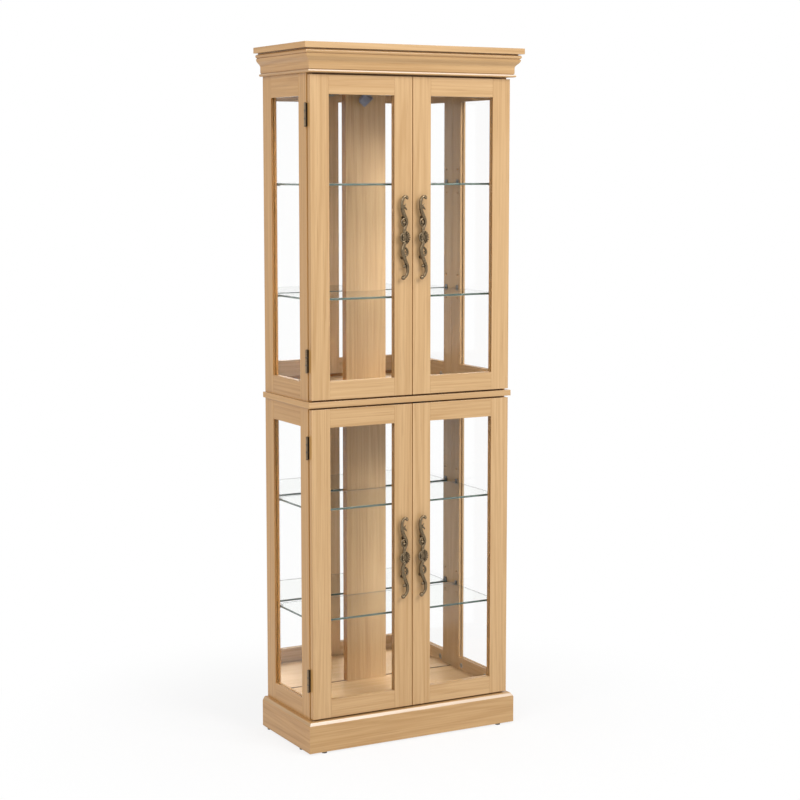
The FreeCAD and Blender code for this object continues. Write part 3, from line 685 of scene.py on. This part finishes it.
for board in ("top_board", "waist_board"):
    low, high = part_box(board)
    section = rectangle((low.y, high.y), (low.z, high.z))
    show_board(board, section, (Y, Z, X), (low.x, high.x), [oak[X], side_shaded_oak[Y]])
for unit in UNITS:
    board = f"{unit}_back_board"
    low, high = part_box(board)
    section = [(low.x, low.y), (high.x, low.y), (high.x, mirror_front), (TONGUE_HALF_WIDTH, mirror_front),
               (TONGUE_HALF_WIDTH, high.y), (-TONGUE_HALF_WIDTH, high.y), (-TONGUE_HALF_WIDTH, mirror_front),
               (low.x, mirror_front)]
    # The centre boards' edges are in the dark edge oak: painted shade
    show_board(board, section, (X, Y, Z), (low.z, high.z), [inside_lit_oak, shaded_edge_oak])


# Cornice: a rounded band, a quirk, an ogee, a second quirk and a bead, mitred at the corners

BAND_OUT = 15.2 * MM
BAND_BULGE = 3.8 * MM
BAND_HEIGHT = 8.8 * MM
SHADOW_GAP = 2.6 * MM
SHADOW_GAP_OUT = 12.5 * MM
QUIRK = 1.8 * MM
OGEE_FOOT = 0.64
OGEE_OUT = 17.4 * MM
NECK_OUT = 6.2 * MM
BEAD_RADIUS = 3.3 * MM
# Levels above the cornice's foot where the top of the bead gets a painted highlight
BEAD_HIGHLIGHT = (1.15 * BEAD_RADIUS, 1.95 * BEAD_RADIUS)
ARC_STEPS = 10
OGEE_STEPS = 18


def cornice_profile(low, high):
    """How far the moulding stands out, and at which level, from its top to its foot."""
    profile = [(0, high), (SHADOW_GAP_OUT, high)]
    band_high = high - SHADOW_GAP
    profile.append((SHADOW_GAP_OUT, band_high))
    for step in range(ARC_STEPS + 1):
        angle = math.pi * (step / ARC_STEPS - 0.5)
        level = band_high - BAND_HEIGHT / 2 * (1 + math.sin(angle))
        profile.append((BAND_OUT + BAND_BULGE * math.cos(angle), level))
    ogee_high = band_high - BAND_HEIGHT - QUIRK
    ogee_low = low + 2 * BEAD_RADIUS + QUIRK
    profile.append((BAND_OUT, ogee_high))
    for step in range(OGEE_STEPS + 1):
        share = step / OGEE_STEPS
        slope = min(1.0, share / OGEE_FOOT)
        fall = slope - math.sin(math.tau * slope) / math.tau
        profile.append((OGEE_OUT + (NECK_OUT - OGEE_OUT) * fall, ogee_high + (ogee_low - ogee_high) * share))
    profile.append((NECK_OUT - QUIRK, ogee_low))
    profile.append((NECK_OUT - QUIRK, low + 2 * BEAD_RADIUS))
    for step in range(ARC_STEPS + 1):
        angle = math.pi * (step / ARC_STEPS - 0.5)
        profile.append((NECK_OUT + BEAD_RADIUS * math.cos(angle), low + BEAD_RADIUS * (1 - math.sin(angle))))
    profile.append((0, low))
    return profile


SHARP_CORNER = math.radians(28)
# Each run's woods: its plain oak, then a paler oak for the strips with a painted highlight. The front's plain
# oak is the run oak, a darker copy with painted shade, and the sides' is the side oak, also painted shade
RUN_WOODS = {"front": [shaded_run_oak, highlight_oak], "left": [side_shaded_oak[Y], oak[Y]], "right": [side_shaded_oak[Y], oak[Y]]}


def mitred_runs(kind, profile, form, rubbed_and_highlit):
    """Three runs of a profile along the front and both sides, mitred where they meet.

    The strips that lie between the levels given are of the second wood, a paler oak that paints a highlight on
    them.
    """
    low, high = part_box(f"{kind}_front")
    reach = high.x - side_outer
    back = low.y + reach
    for run, woods in RUN_WOODS.items():
        sign = -1 if run == "left" else 1
        builder = bmesh.new()
        ends = ([], [])
        for out, level in profile(low.z, high.z):
            corner = Vector((sign * (side_outer + out), back - out, level))
            other = corner.copy()
            if run == "front":
                other.x = -corner.x
            else:
                other.y = case_rear
            ends[0].append(builder.verts.new(corner))
            ends[1].append(builder.verts.new(other))
        for end in ends:
            builder.faces.new(end)
        count = len(ends[0])
        for index in range(count):
            after = (index + 1) % count
            strip = builder.faces.new((ends[0][index], ends[0][after], ends[1][after], ends[1][index]))
            strip.smooth = True
            level = (ends[0][index].co.z + ends[0][after].co.z) / 2
            out = abs(ends[0][index].co.x) - side_outer
            is_highlit = rubbed_and_highlit[0] < level < rubbed_and_highlit[1] and out > 0
            strip.material_index = 1 if is_highlit else 0
        moulding = finish_mesh(f"{kind}_{run}_{form}", builder, woods)
        moulding.data.set_sharp_from_angle(angle=SHARP_CORNER)
        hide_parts(f"{kind}_{run}")
        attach(moulding, "cabinet")


cornice_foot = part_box("cornice_front")[0].z
mitred_runs("cornice", cornice_profile, "moulding", [cornice_foot + rise for rise in BEAD_HIGHLIGHT])


# Plinth: boards whose top edge falls away in a wide bevel

PLINTH_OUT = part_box("plinth_front")[1].x - side_outer
BEVEL_IN = 6 * MM
BEVEL_DOWN = 7.5 * MM
BEVEL_SOFTNESS = 1.2 * MM
BEVEL_STEP = 1 * MM
# Depths below the plinth's top where the bevel gets a painted highlight
BEVEL_HIGHLIGHT = (0.8 * BEVEL_DOWN, BEVEL_SOFTNESS / 2)


def plinth_profile(low, high):
    """How far the board stands out, and at which level, from its top to its foot."""
    bevel_in = PLINTH_OUT - BEVEL_IN
    bevel_low = high - BEVEL_DOWN
    run = Vector((BEVEL_IN, -BEVEL_DOWN)).normalized() * BEVEL_SOFTNESS
    return [
        (0, high),
        (bevel_in - BEVEL_SOFTNESS, high),
        (bevel_in + run.x, high + run.y),
        (PLINTH_OUT - BEVEL_STEP, bevel_low),
        (PLINTH_OUT - BEVEL_STEP, bevel_low - BEVEL_STEP),
        (PLINTH_OUT, bevel_low - 2 * BEVEL_STEP),
        (PLINTH_OUT, low),
        (0, low),
    ]


plinth_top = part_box("plinth_front")[1].z
mitred_runs("plinth", plinth_profile, "board", [plinth_top - fall for fall in BEVEL_HIGHLIGHT])


# Strips: oak behind the gaps at the waist and over the upper doors, and a strip or a batten along each mirror.
# The oak strips and the battens have the dark edge colours, painted shade; the felt strips are dark also to
# paint the shadow line at the mirrors' foot

WAIST_HIGH_STRIP = 7 * MM
WAIST_LOW_STRIP = 6 * MM
HEAD_STRIP = 6 * MM
GAP_STRIP_DEPTH = 4 * MM
MIRROR_STRIP_SIZE = 1.5 * MM
MIRROR_STRIP_EASE = MIRROR_STRIP_SIZE / 4
BATTEN_HEIGHT = 7.5 * MM
BATTEN_DEPTH = 5 * MM


def add_strip(name, depths, levels, span, material, ease=EDGE_EASE):
    """A strip that runs along the width of the cabinet."""
    builder = bmesh.new()
    add_bar(builder, eased_bar(rectangle(depths, levels), (Y, Z, X), span, ease))
    strip = finish_mesh(name, builder, [material])
    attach(strip, "cabinet")


waist_low, waist_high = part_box("waist_board")
ceiling_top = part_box("ceiling_panel")[1].z
gap_depths = (case_front, case_front + GAP_STRIP_DEPTH)
gap_span = (-side_inner, side_inner)
gap_strips = {
    "upper_foot_strip": (waist_high.z, waist_high.z + WAIST_HIGH_STRIP),
    "lower_head_strip": (waist_low.z - WAIST_LOW_STRIP, waist_low.z),
    "upper_head_strip": (ceiling_top, ceiling_top + HEAD_STRIP),
}
for name, levels in gap_strips.items():
    add_strip(name, gap_depths, levels, gap_span, shaded_batten_oak)


def mirror_span(unit, side):
    """The part of the width that a mirror fills, between the centre board and the side."""
    board_low, board_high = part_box(f"{unit}_back_board")
    return (board_high.x, side_inner) if side == "right" else (-side_inner, board_low.x)


batten_depths = (mirror_front - BATTEN_DEPTH, mirror_front)
batten_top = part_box("upper_back_board")[1].z
batten_levels = (batten_top - BATTEN_HEIGHT, batten_top)
for side in SIDES:
    add_strip(f"upper_{side}_mirror_batten", batten_depths, batten_levels, mirror_span("upper", side),
              shaded_batten_oak, MIRROR_STRIP_EASE)
# Felt strips at the foot of the lower mirrors; their dark brown also paints the shadow line where the mirror
# meets the floor
strip_depths = (mirror_front - MIRROR_STRIP_SIZE, mirror_front)
for side in SIDES:
    strip_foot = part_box(f"lower_{side}_mirror")[0].z
    strip_levels = (strip_foot, strip_foot + MIRROR_STRIP_SIZE)
    add_strip(f"lower_{side}_mirror_strip", strip_depths, strip_levels, mirror_span("lower", side),
              felt_and_shadow, MIRROR_STRIP_EASE)


# Lamp: a domed lens in its mouth

# Profiles of turned pieces, here and below: a radius and a height, in mm, from tip to tail
LENS = [(0, 11), (5, 10.7), (9.5, 9.6), (13, 7.8), (14.2, 6.6), (14.2, 6.05), (0, 6.05)]
lamp_tilt = next(joint for joint in frame["record"]["behaviour"]["joints"] if joint["name"] == "lamp_tilt")
tilt_axis = Vector(lamp_tilt["axis"]).normalized()
lamp_forward = tilt_axis.cross(Vector((0, 0, 1)))
lamp_aim = (lamp_forward - Vector((0, 0, 1))).normalized()
builder = bmesh.new()
add_turned(builder, lamp_tilt["pos_m"], lamp_aim, LENS, segments=32)
for face in builder.faces:
    face.smooth = True
lens = finish_mesh("lamp_lens", builder, [frosted_glass])
lens.data.set_sharp_from_angle(angle=SHARP_CORNER)
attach(lens, "lamp_head")


# Cam locks: turned faces with a driver recess

# The profile of a face, in mm, as those of the other turned pieces
CAM_RIM = 0.6
CAM_FACE_RADIUS = CAM_RADIUS / MM
CAM_TAIL = -CAM_DEPTH / MM
CAM_FACE = [(0, -3), (2.4, -2.6), (3.2, 0), (CAM_FACE_RADIUS - CAM_RIM, 0), (CAM_FACE_RADIUS, -CAM_RIM),
            (CAM_FACE_RADIUS, CAM_TAIL), (0, CAM_TAIL)]
builder = bmesh.new()
for unit in UNITS:
    for sign in SIDES.values():
        for depth in cam_depths:
            centre = Vector((sign * side_inner, depth, cam_levels[unit]))
            add_turned(builder, centre, (-sign, 0, 0), CAM_FACE, segments=28)
cams = finish_mesh("cam_lock_faces", builder, [steel])
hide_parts("cam_locks")
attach(cams, "cabinet")


# Screws of the hinge leaves, flush with the leaves

SCREW_STEPS = (-18 * MM, 0, 18 * MM)
LEAF_SCREW = [(0, -0.405), (0.884, -0.27), (1.144, 0.1), (2.08, 0.092), (2.6, 0), (2.6, -0.9), (0, -0.9)]


def hinge_levels(door):
    """The heights of the middles of a door's two hinges."""
    low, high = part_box(f"{door}_frame")
    return low.z + HINGE_INSET, high.z - HINGE_INSET


case_screw_x = side_outer - HINGE_LEAF_WIDTH / 2
case_screw_y = case_front - HINGE_LEAF_THICKNESS
case_screws = bmesh.new()
for unit in UNITS:
    for side, sign in SIDES.items():
        door = f"{unit}_{side}_door"
        low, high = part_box(f"{door}_frame")
        leaf_low, leaf_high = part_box(f"{door}_hinge_leaves")
        leaf_inner = leaf_low.x if side == "right" else leaf_high.x
        door_outer = high.x if side == "right" else low.x
        door_screws = bmesh.new()
        for level in hinge_levels(door):
            for step in SCREW_STEPS:
                case_place = (sign * case_screw_x, case_screw_y, level + step)
                door_place = ((leaf_inner + door_outer) / 2, high.y + HINGE_LEAF_THICKNESS, level + step)
                add_turned(case_screws, case_place, (0, -1, 0), LEAF_SCREW, segments=16)
                add_turned(door_screws, door_place, (0, 1, 0), LEAF_SCREW, segments=16)
        screws = finish_mesh(f"{door}_leaf_screws", door_screws, [hinge_bronze])
        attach(screws, door)
screws = finish_mesh("case_leaf_screws", case_screws, [hinge_bronze])
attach(screws, "cabinet")


# Washers between the knuckles of the hinges

WASHER = [(0, 0.8), (3.3, 0.8), (3.5, 0.5), (3.5, -0.5), (3.3, -0.8), (0, -0.8)]
# Their dark plastic also paints the shaded gaps between the knuckles: partly painted shade
KNUCKLE_JOINTS = (-9 * MM, 9 * MM)
washer_builder = bmesh.new()
for joint in frame["record"]["behaviour"]["joints"]:
    if joint["name"] == "lamp_tilt":
        continue
    axis_x, axis_y = joint["pos_m"][:2]
    for level in hinge_levels(joint["child"]):
        for step in KNUCKLE_JOINTS:
            add_turned(washer_builder, (axis_x, axis_y, level + step), (0, 0, 1), WASHER, segments=20)
washers = finish_mesh("hinge_washers", washer_builder, [dark_plastic])
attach(washers, "cabinet")


# Nails round the back panels

NAIL_INSET = 5 * MM
NAIL_PITCH = 110 * MM
NAIL = [(0, 0.5), (1.6, 0.35), (2.4, 0), (2.4, -1), (0, -1)]
NAIL_SUNK = 0.5 * MM
nails = bmesh.new()
for unit in UNITS:
    low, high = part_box(f"{unit}_back_panel")
    across = high.x - low.x - 2 * NAIL_INSET
    up = high.z - low.z - 2 * NAIL_INSET
    columns = round(across / NAIL_PITCH)
    rows = round(up / NAIL_PITCH)
    places = set()
    for column in range(columns + 1):
        places |= {(column / columns, 0.0), (column / columns, 1.0)}
    for row in range(1, rows):
        places |= {(0.0, row / rows), (1.0, row / rows)}
    for share_x, share_z in sorted(places):
        nail_x = low.x + NAIL_INSET + share_x * across
        nail_z = low.z + NAIL_INSET + share_z * up
        centre = (nail_x, high.y - NAIL_SUNK, nail_z)
        add_turned(nails, centre, (0, 1, 0), NAIL, segments=14)
back_nails = finish_mesh("back_nails", nails, [steel])
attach(back_nails, "cabinet")


# Shelves: clear plates with green ground edges

PLATE_FACING = 0.95
for unit in UNITS:
    for shelf in SHELVES:
        name = f"{unit}_{shelf}_shelf"
        low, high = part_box(name)
        builder = bmesh.new()
        section = rectangle((low.y, high.y), (low.z, high.z))
        add_bar(builder, eased_bar(section, (Y, Z, X), (low.x, high.x)))
        builder.normal_update()
        for face in builder.faces:
            face.material_index = 0 if abs(face.normal.z) > PLATE_FACING else 1
        plate = finish_mesh(f"{name}_plate", builder, [shelf_glass, glass_edge])
        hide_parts(name)
        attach(plate, "cabinet")


# Handles: a cast scroll with a rosette in its middle, with its sizes in mm

# The upper half of the casting: how far to the right and above its middle, and a radius
STEM = [
    (-1, 10, 4.6), (-2.5, 19, 4.3), (0.8, 26, 3.7), (5.2, 33, 3.3), (4.6, 42, 3.7), (0.2, 49, 4.5),
    (-3.6, 57, 4.5), (-6.6, 66, 4.1), (-8.4, 75, 3.9), (-8.4, 84, 3.7), (-6, 93, 3.4), (-1, 98.6, 3.2),
    (4.4, 98.6, 3.0), (7.2, 95.2, 2.9), (5, 92.5, 3.0),
]
VOLUTE = [
    (3.6, 44, 2.3), (-2.5, 46.5, 2.4), (-8, 43, 2.5), (-9.8, 36.5, 2.5), (-7.6, 30, 2.3), (-3, 26.8, 2.1),
]
# The lower half: how far to the right and below the middle, and a radius
LOWER_STEM = [
    (0, 10, 4.6), (-2.6, 18, 4.4), (-5.8, 25, 4.4), (-6.8, 33, 4.6), (-5.4, 41, 4.6), (-2.2, 48, 4.4),
    (1, 56, 4.2), (4, 63, 4.0), (6.6, 70, 3.9), (7.6, 77, 3.8), (7, 84, 3.6), (4.6, 90.5, 3.4),
    (0.4, 95.5, 3.2), (-4.4, 97, 3.2),
]
LOWER_VOLUTE = [
    (-1, 44, 2.4), (3.6, 44, 2.5), (7.2, 40, 2.6), (7.6, 33.5, 2.6), (5.4, 28, 2.4), (1.6, 25, 2.2),
]
# A leaf and a spur on the upper half, as above
LEAF = [(-7, 73, 3.0), (-2, 74, 2.7), (2, 71, 2.3), (4.6, 66, 1.2)]
SPUR = [(-6, 70, 2.4), (-0.5, 76.5, 1.9), (2.6, 80.5, 0.8)]
# Balls: how far to the right and above the middle, and a radius
BALLS = [(-3.2, 35.5, 4.2), (5.0, 95.0, 3.8), (2.4, -34.5, 2.4), (-2.4, -69, 4.1), (-5.2, -96.6, 5.4)]
BALL_OUT = 1.6
# Hatching: ropes that wind both ways round the stem between two levels
HATCH_START = 46
HATCH_END = 70
HATCH_TURNS = 2
HATCH_STRANDS = 3
HATCH_RADIUS = 0.8
HATCH_STEPS = 20
POST_RADIUS = 3.6
POST_FOOT_RADIUS = 4.6
# Rosette lumps: how far right, up and out, the radii across, through and up, and a turn in radians
ROSETTE_LUMPS = [
    (0, 0, -1.0, (11.5, 4.6, 14.0), 0.0),
    (-6.2, 4.4, 2.4, (2.6, 2.6, 4.4), 0.4),
    (-5.6, -5.0, 2.4, (2.4, 2.4, 3.8), -0.5),
    (-1.5, 14.5, 1.0, (4.6, 4.2, 3.6), 0.0),
    (-1.5, -14.5, 1.0, (4.6, 4.2, 3.6), 0.0),
]
# The curled leaf on the rosette's left is an open loop
CURL_MIDDLE = -5.6
CURL_WIDTH = 7.2
CURL_HEIGHT = 11.0
CURL_OUT = 1.6
CURL_RADIUS = 2.4
CURL_DEGREES = range(40, 360, 40)
# The shell on its right has ribs that spread over an angle, in degrees
SHELL_WIDTH = 13.2
SHELL_HEIGHT = 15.6
SHELL_RIBS = 7
SHELL_SPREAD = 128
# Lumps of each rib: shares of the shell's width and height, how far out, the radii, if it turns, its segments
RIB_LUMPS = [
    (0.6, 0.6, 2.6, (5.6, 2.4, 1.5), True, 14),
    (0.94, 0.94, 1.2, (1.9, 2.5, 1.9), False, 12),
    (0.42, 0.5, 4.4, (1.4, 1.4, 1.4), False, 12),
]
CASTING_SHIFT = -1.6
CASTING_SWELL = 1.08


def add_tube(curve, points):
    """A smooth tube through points that each have their own radius."""
    spline = curve.splines.new("NURBS")
    spline.points.add(len(points) - 1)
    for point, (place, radius) in zip(spline.points, points):
        point.co = (*place, 1.0)
        point.radius = radius
    spline.order_u = 4
    spline.use_endpoint_u = True
    spline.resolution_u = 5


def add_ball(builder, centre, radii, turn=0.0, segments=20):
    """An ellipsoid with radii in mm, turned in the plane of the door."""
    size = Matrix.Diagonal((*(radius * MM for radius in radii), 1.0))
    shape = Matrix.Translation(centre) @ Matrix.Rotation(turn, 4, "Y") @ size
    bmesh.ops.create_uvsphere(
        builder, u_segments=segments, v_segments=segments * 3 // 5, radius=1.0, matrix=shape)


def along_stem(stem, level):
    """Where a stem is at a level that it passes, and its radius there, in mm."""
    for (x0, z0, r0), (x1, z1, r1) in zip(stem, stem[1:]):
        if z0 <= level <= z1:
            part = (level - z0) / (z1 - z0)
            return x0 + part * (x1 - x0), r0 + part * (r1 - r0)
    raise ValueError("the stem does not pass this level")


def handle_mesh():
    """The casting, with its middle on the door's face and its front towards -Y, in metres."""
    curve = bpy.data.curves.new("handle_tubes", "CURVE")
    curve.dimensions = "3D"
    curve.bevel_depth = 1.0
    curve.bevel_resolution = 3
    curve.use_fill_caps = True
    builder = bmesh.new()
    plane = -HANDLE_STANDOFF

    def placed(x, z, out=0.0):
        return Vector(((x + CASTING_SHIFT) * MM, plane - out * MM, z * MM))

    halves = [(1, STEM, [STEM, VOLUTE, LEAF, SPUR]), (-1, LOWER_STEM, [LOWER_STEM, LOWER_VOLUTE])]
    for up, stem, tubes in halves:
        for tube in tubes:
            add_tube(curve, [(placed(x, up * z), radius * CASTING_SWELL * MM) for x, z, radius in tube])
        for strand in range(HATCH_STRANDS * 2):
            winding = 1 if strand % 2 else -1
            rope = []
            for step in range(HATCH_STEPS + 1):
                share = step / HATCH_STEPS
                level = HATCH_START + share * (HATCH_END - HATCH_START)
                x, radius = along_stem(stem, level)
                radius = radius * CASTING_SWELL
                angle = winding * math.tau * (share * HATCH_TURNS + strand / 2 / HATCH_STRANDS)
                place = placed(x + radius * math.cos(angle), up * level, radius * math.sin(angle))
                rope.append((place, HATCH_RADIUS * MM))
            add_tube(curve, rope)
        post_x = along_stem(stem, HANDLE_SPACING / MM / 2)[0]
        post = Vector(((post_x + CASTING_SHIFT) * MM, plane / 2, up * HANDLE_SPACING / 2))
        add_cylinder(builder, post, Y, POST_RADIUS * MM, HANDLE_STANDOFF, POST_FOOT_RADIUS * MM)
    for x, z, radius in BALLS:
        add_ball(builder, placed(x, z, BALL_OUT), [radius] * 3)

    # Rosette: a curled leaf on its left and a ribbed shell on its right
    for x, z, out, radii, turn in ROSETTE_LUMPS:
        add_ball(builder, placed(x, z, out), radii, turn)
    curl = []
    for angle in map(math.radians, CURL_DEGREES):
        place = placed(CURL_MIDDLE + CURL_WIDTH * math.cos(angle), CURL_HEIGHT * math.sin(angle), CURL_OUT)
        curl.append((place, CURL_RADIUS * MM))
    add_tube(curve, curl)
    for rib in range(SHELL_RIBS):
        angle = math.radians(SHELL_SPREAD * (rib / (SHELL_RIBS - 1) - 0.5))
        reach_x = SHELL_WIDTH * math.cos(angle)
        reach_z = SHELL_HEIGHT * math.sin(angle)
        for share_x, share_z, out, radii, turns, segments in RIB_LUMPS:
            place = placed(share_x * reach_x, share_z * reach_z, out)
            add_ball(builder, place, radii, -angle if turns else 0.0, segments)

    holder = bpy.data.objects.new("handle_tubes", curve)
    bpy.context.scene.collection.objects.link(holder)
    graph = bpy.context.evaluated_depsgraph_get()
    tubes = bpy.data.meshes.new_from_object(holder.evaluated_get(graph))
    builder.from_mesh(tubes)
    bpy.data.objects.remove(holder)
    bpy.data.curves.remove(curve)
    bpy.data.meshes.remove(tubes)
    for face in builder.faces:
        face.smooth = True
    mesh = bpy.data.meshes.new("handle_casting")
    builder.to_mesh(mesh)
    builder.free()
    mesh.materials.append(handle_bronze)
    return mesh


casting = handle_mesh()
for unit in UNITS:
    for side in SIDES:
        door = f"{unit}_{side}_door"
        low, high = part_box(f"{door}_frame")
        handle_low, handle_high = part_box(f"{door}_handle")
        pull = bpy.data.objects.new(f"{door}_pull", casting)
        bpy.context.scene.collection.objects.link(pull)
        pull.location = ((handle_low.x + handle_high.x) / 2, low.y, (low.z + high.z) / 2)
        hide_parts(f"{door}_handle")
        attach(pull, door)


# Stage, light and camera

FLOOR_SIZE = 14.0
SHADOW_NEAR = 0.35
SHADOW_FAR = 1.1
SHADOW_PALENESS = 0.8
floor_builder = bmesh.new()
bmesh.ops.create_grid(floor_builder, x_segments=1, y_segments=1, size=FLOOR_SIZE / 2)
floor_material, floor_tree, floor_shader = start_material("studio_floor")
floor_shader.inputs["Base Color"].default_value = (0.92, 0.92, 0.92, 1.0)
floor_shader.inputs["Roughness"].default_value = 0.9
floor_shader.inputs["Specular IOR Level"].default_value = 0.0
seen = add(floor_tree, "ShaderNodeLightPath")
looked_at = compute(floor_tree, "MAXIMUM", seen.outputs["Is Camera Ray"], seen.outputs["Is Glossy Ray"])
looked_at = compute(floor_tree, "MAXIMUM", looked_at, seen.outputs["Is Transmission Ray"])
floor_place = add(floor_tree, "ShaderNodeTexCoord")
away = add(floor_tree, "ShaderNodeVectorMath", operation="LENGTH")
link(floor_tree, floor_place.outputs["Object"], away.inputs[0])
paleness = ramp(floor_tree, away.outputs["Value"], SHADOW_NEAR, SHADOW_FAR, SHADOW_PALENESS, 1.0)
glow = add(floor_tree, "ShaderNodeEmission")
glow.inputs["Color"].default_value = (1.0, 1.0, 1.0, 1.0)
blend = add(floor_tree, "ShaderNodeMixShader")
link(floor_tree, compute(floor_tree, "MULTIPLY", looked_at, paleness), blend.inputs[0])
link(floor_tree, floor_shader.outputs[0], blend.inputs[1])
link(floor_tree, glow.outputs[0], blend.inputs[2])
link(floor_tree, blend.outputs[0], floor_tree.nodes["Material Output"].inputs["Surface"])
floor = finish_mesh("studio_floor", floor_builder, [floor_material])

WORLD_LIGHT = 0.55
world = bpy.data.worlds.new("studio")
bpy.context.scene.world = world
world.use_nodes = True
sky = world.node_tree
background = sky.nodes["Background"]
background.inputs["Color"].default_value = (1.0, 1.0, 1.0, 1.0)
path = add(sky, "ShaderNodeLightPath")
shown = compute(sky, "MAXIMUM", path.outputs["Is Camera Ray"], path.outputs["Is Glossy Ray"])
shown = compute(sky, "MAXIMUM", shown, path.outputs["Is Transmission Ray"])
strength = add(sky, "ShaderNodeMapRange")
link(sky, shown, strength.inputs[0])
strength.inputs[3].default_value = WORLD_LIGHT
strength.inputs[4].default_value = 1.0
link(sky, strength.outputs[0], background.inputs["Strength"])


def area_light(name, place, target, size, power):
    lamp = bpy.data.lights.new(name, "AREA")
    lamp.size = size
    lamp.energy = power
    holder = bpy.data.objects.new(name, lamp)
    bpy.context.scene.collection.objects.link(holder)
    holder.location = place
    direction = Vector(target) - Vector(place)
    holder.rotation_euler = direction.to_track_quat("-Z", "Y").to_euler()


CABINET_MIDDLE = (0, 0, 0.95)
area_light("key", (1.2, -3.2, 3.4), CABINET_MIDDLE, size=2.0, power=105)
area_light("fill", (-2.9, -1.7, 3.1), CABINET_MIDDLE, size=2.4, power=52)

CAMERA_PLACE = (-2.1991, -4.1036, 1.4097)
CAMERA_TURN = math.radians(28.5)
CAMERA_TILT = math.radians(6.794)
CAMERA_FOCAL_PIXELS = 1880.52
CAMERA_AXIS_ROW = 392.0
IMAGE_PIXELS = 800
camera = bpy.data.cameras.new("photo_camera")
camera.sensor_width = 36.0
camera.lens = camera.sensor_width * CAMERA_FOCAL_PIXELS / IMAGE_PIXELS
camera.shift_y = CAMERA_AXIS_ROW / IMAGE_PIXELS - 0.5
viewer = bpy.data.objects.new("photo_camera", camera)
bpy.context.scene.collection.objects.link(viewer)
viewer.location = CAMERA_PLACE
viewer.rotation_euler = (math.pi / 2 - CAMERA_TILT, 0.0, -CAMERA_TURN)
bpy.context.scene.camera = viewer
bpy.context.scene.view_settings.view_transform = "Standard"
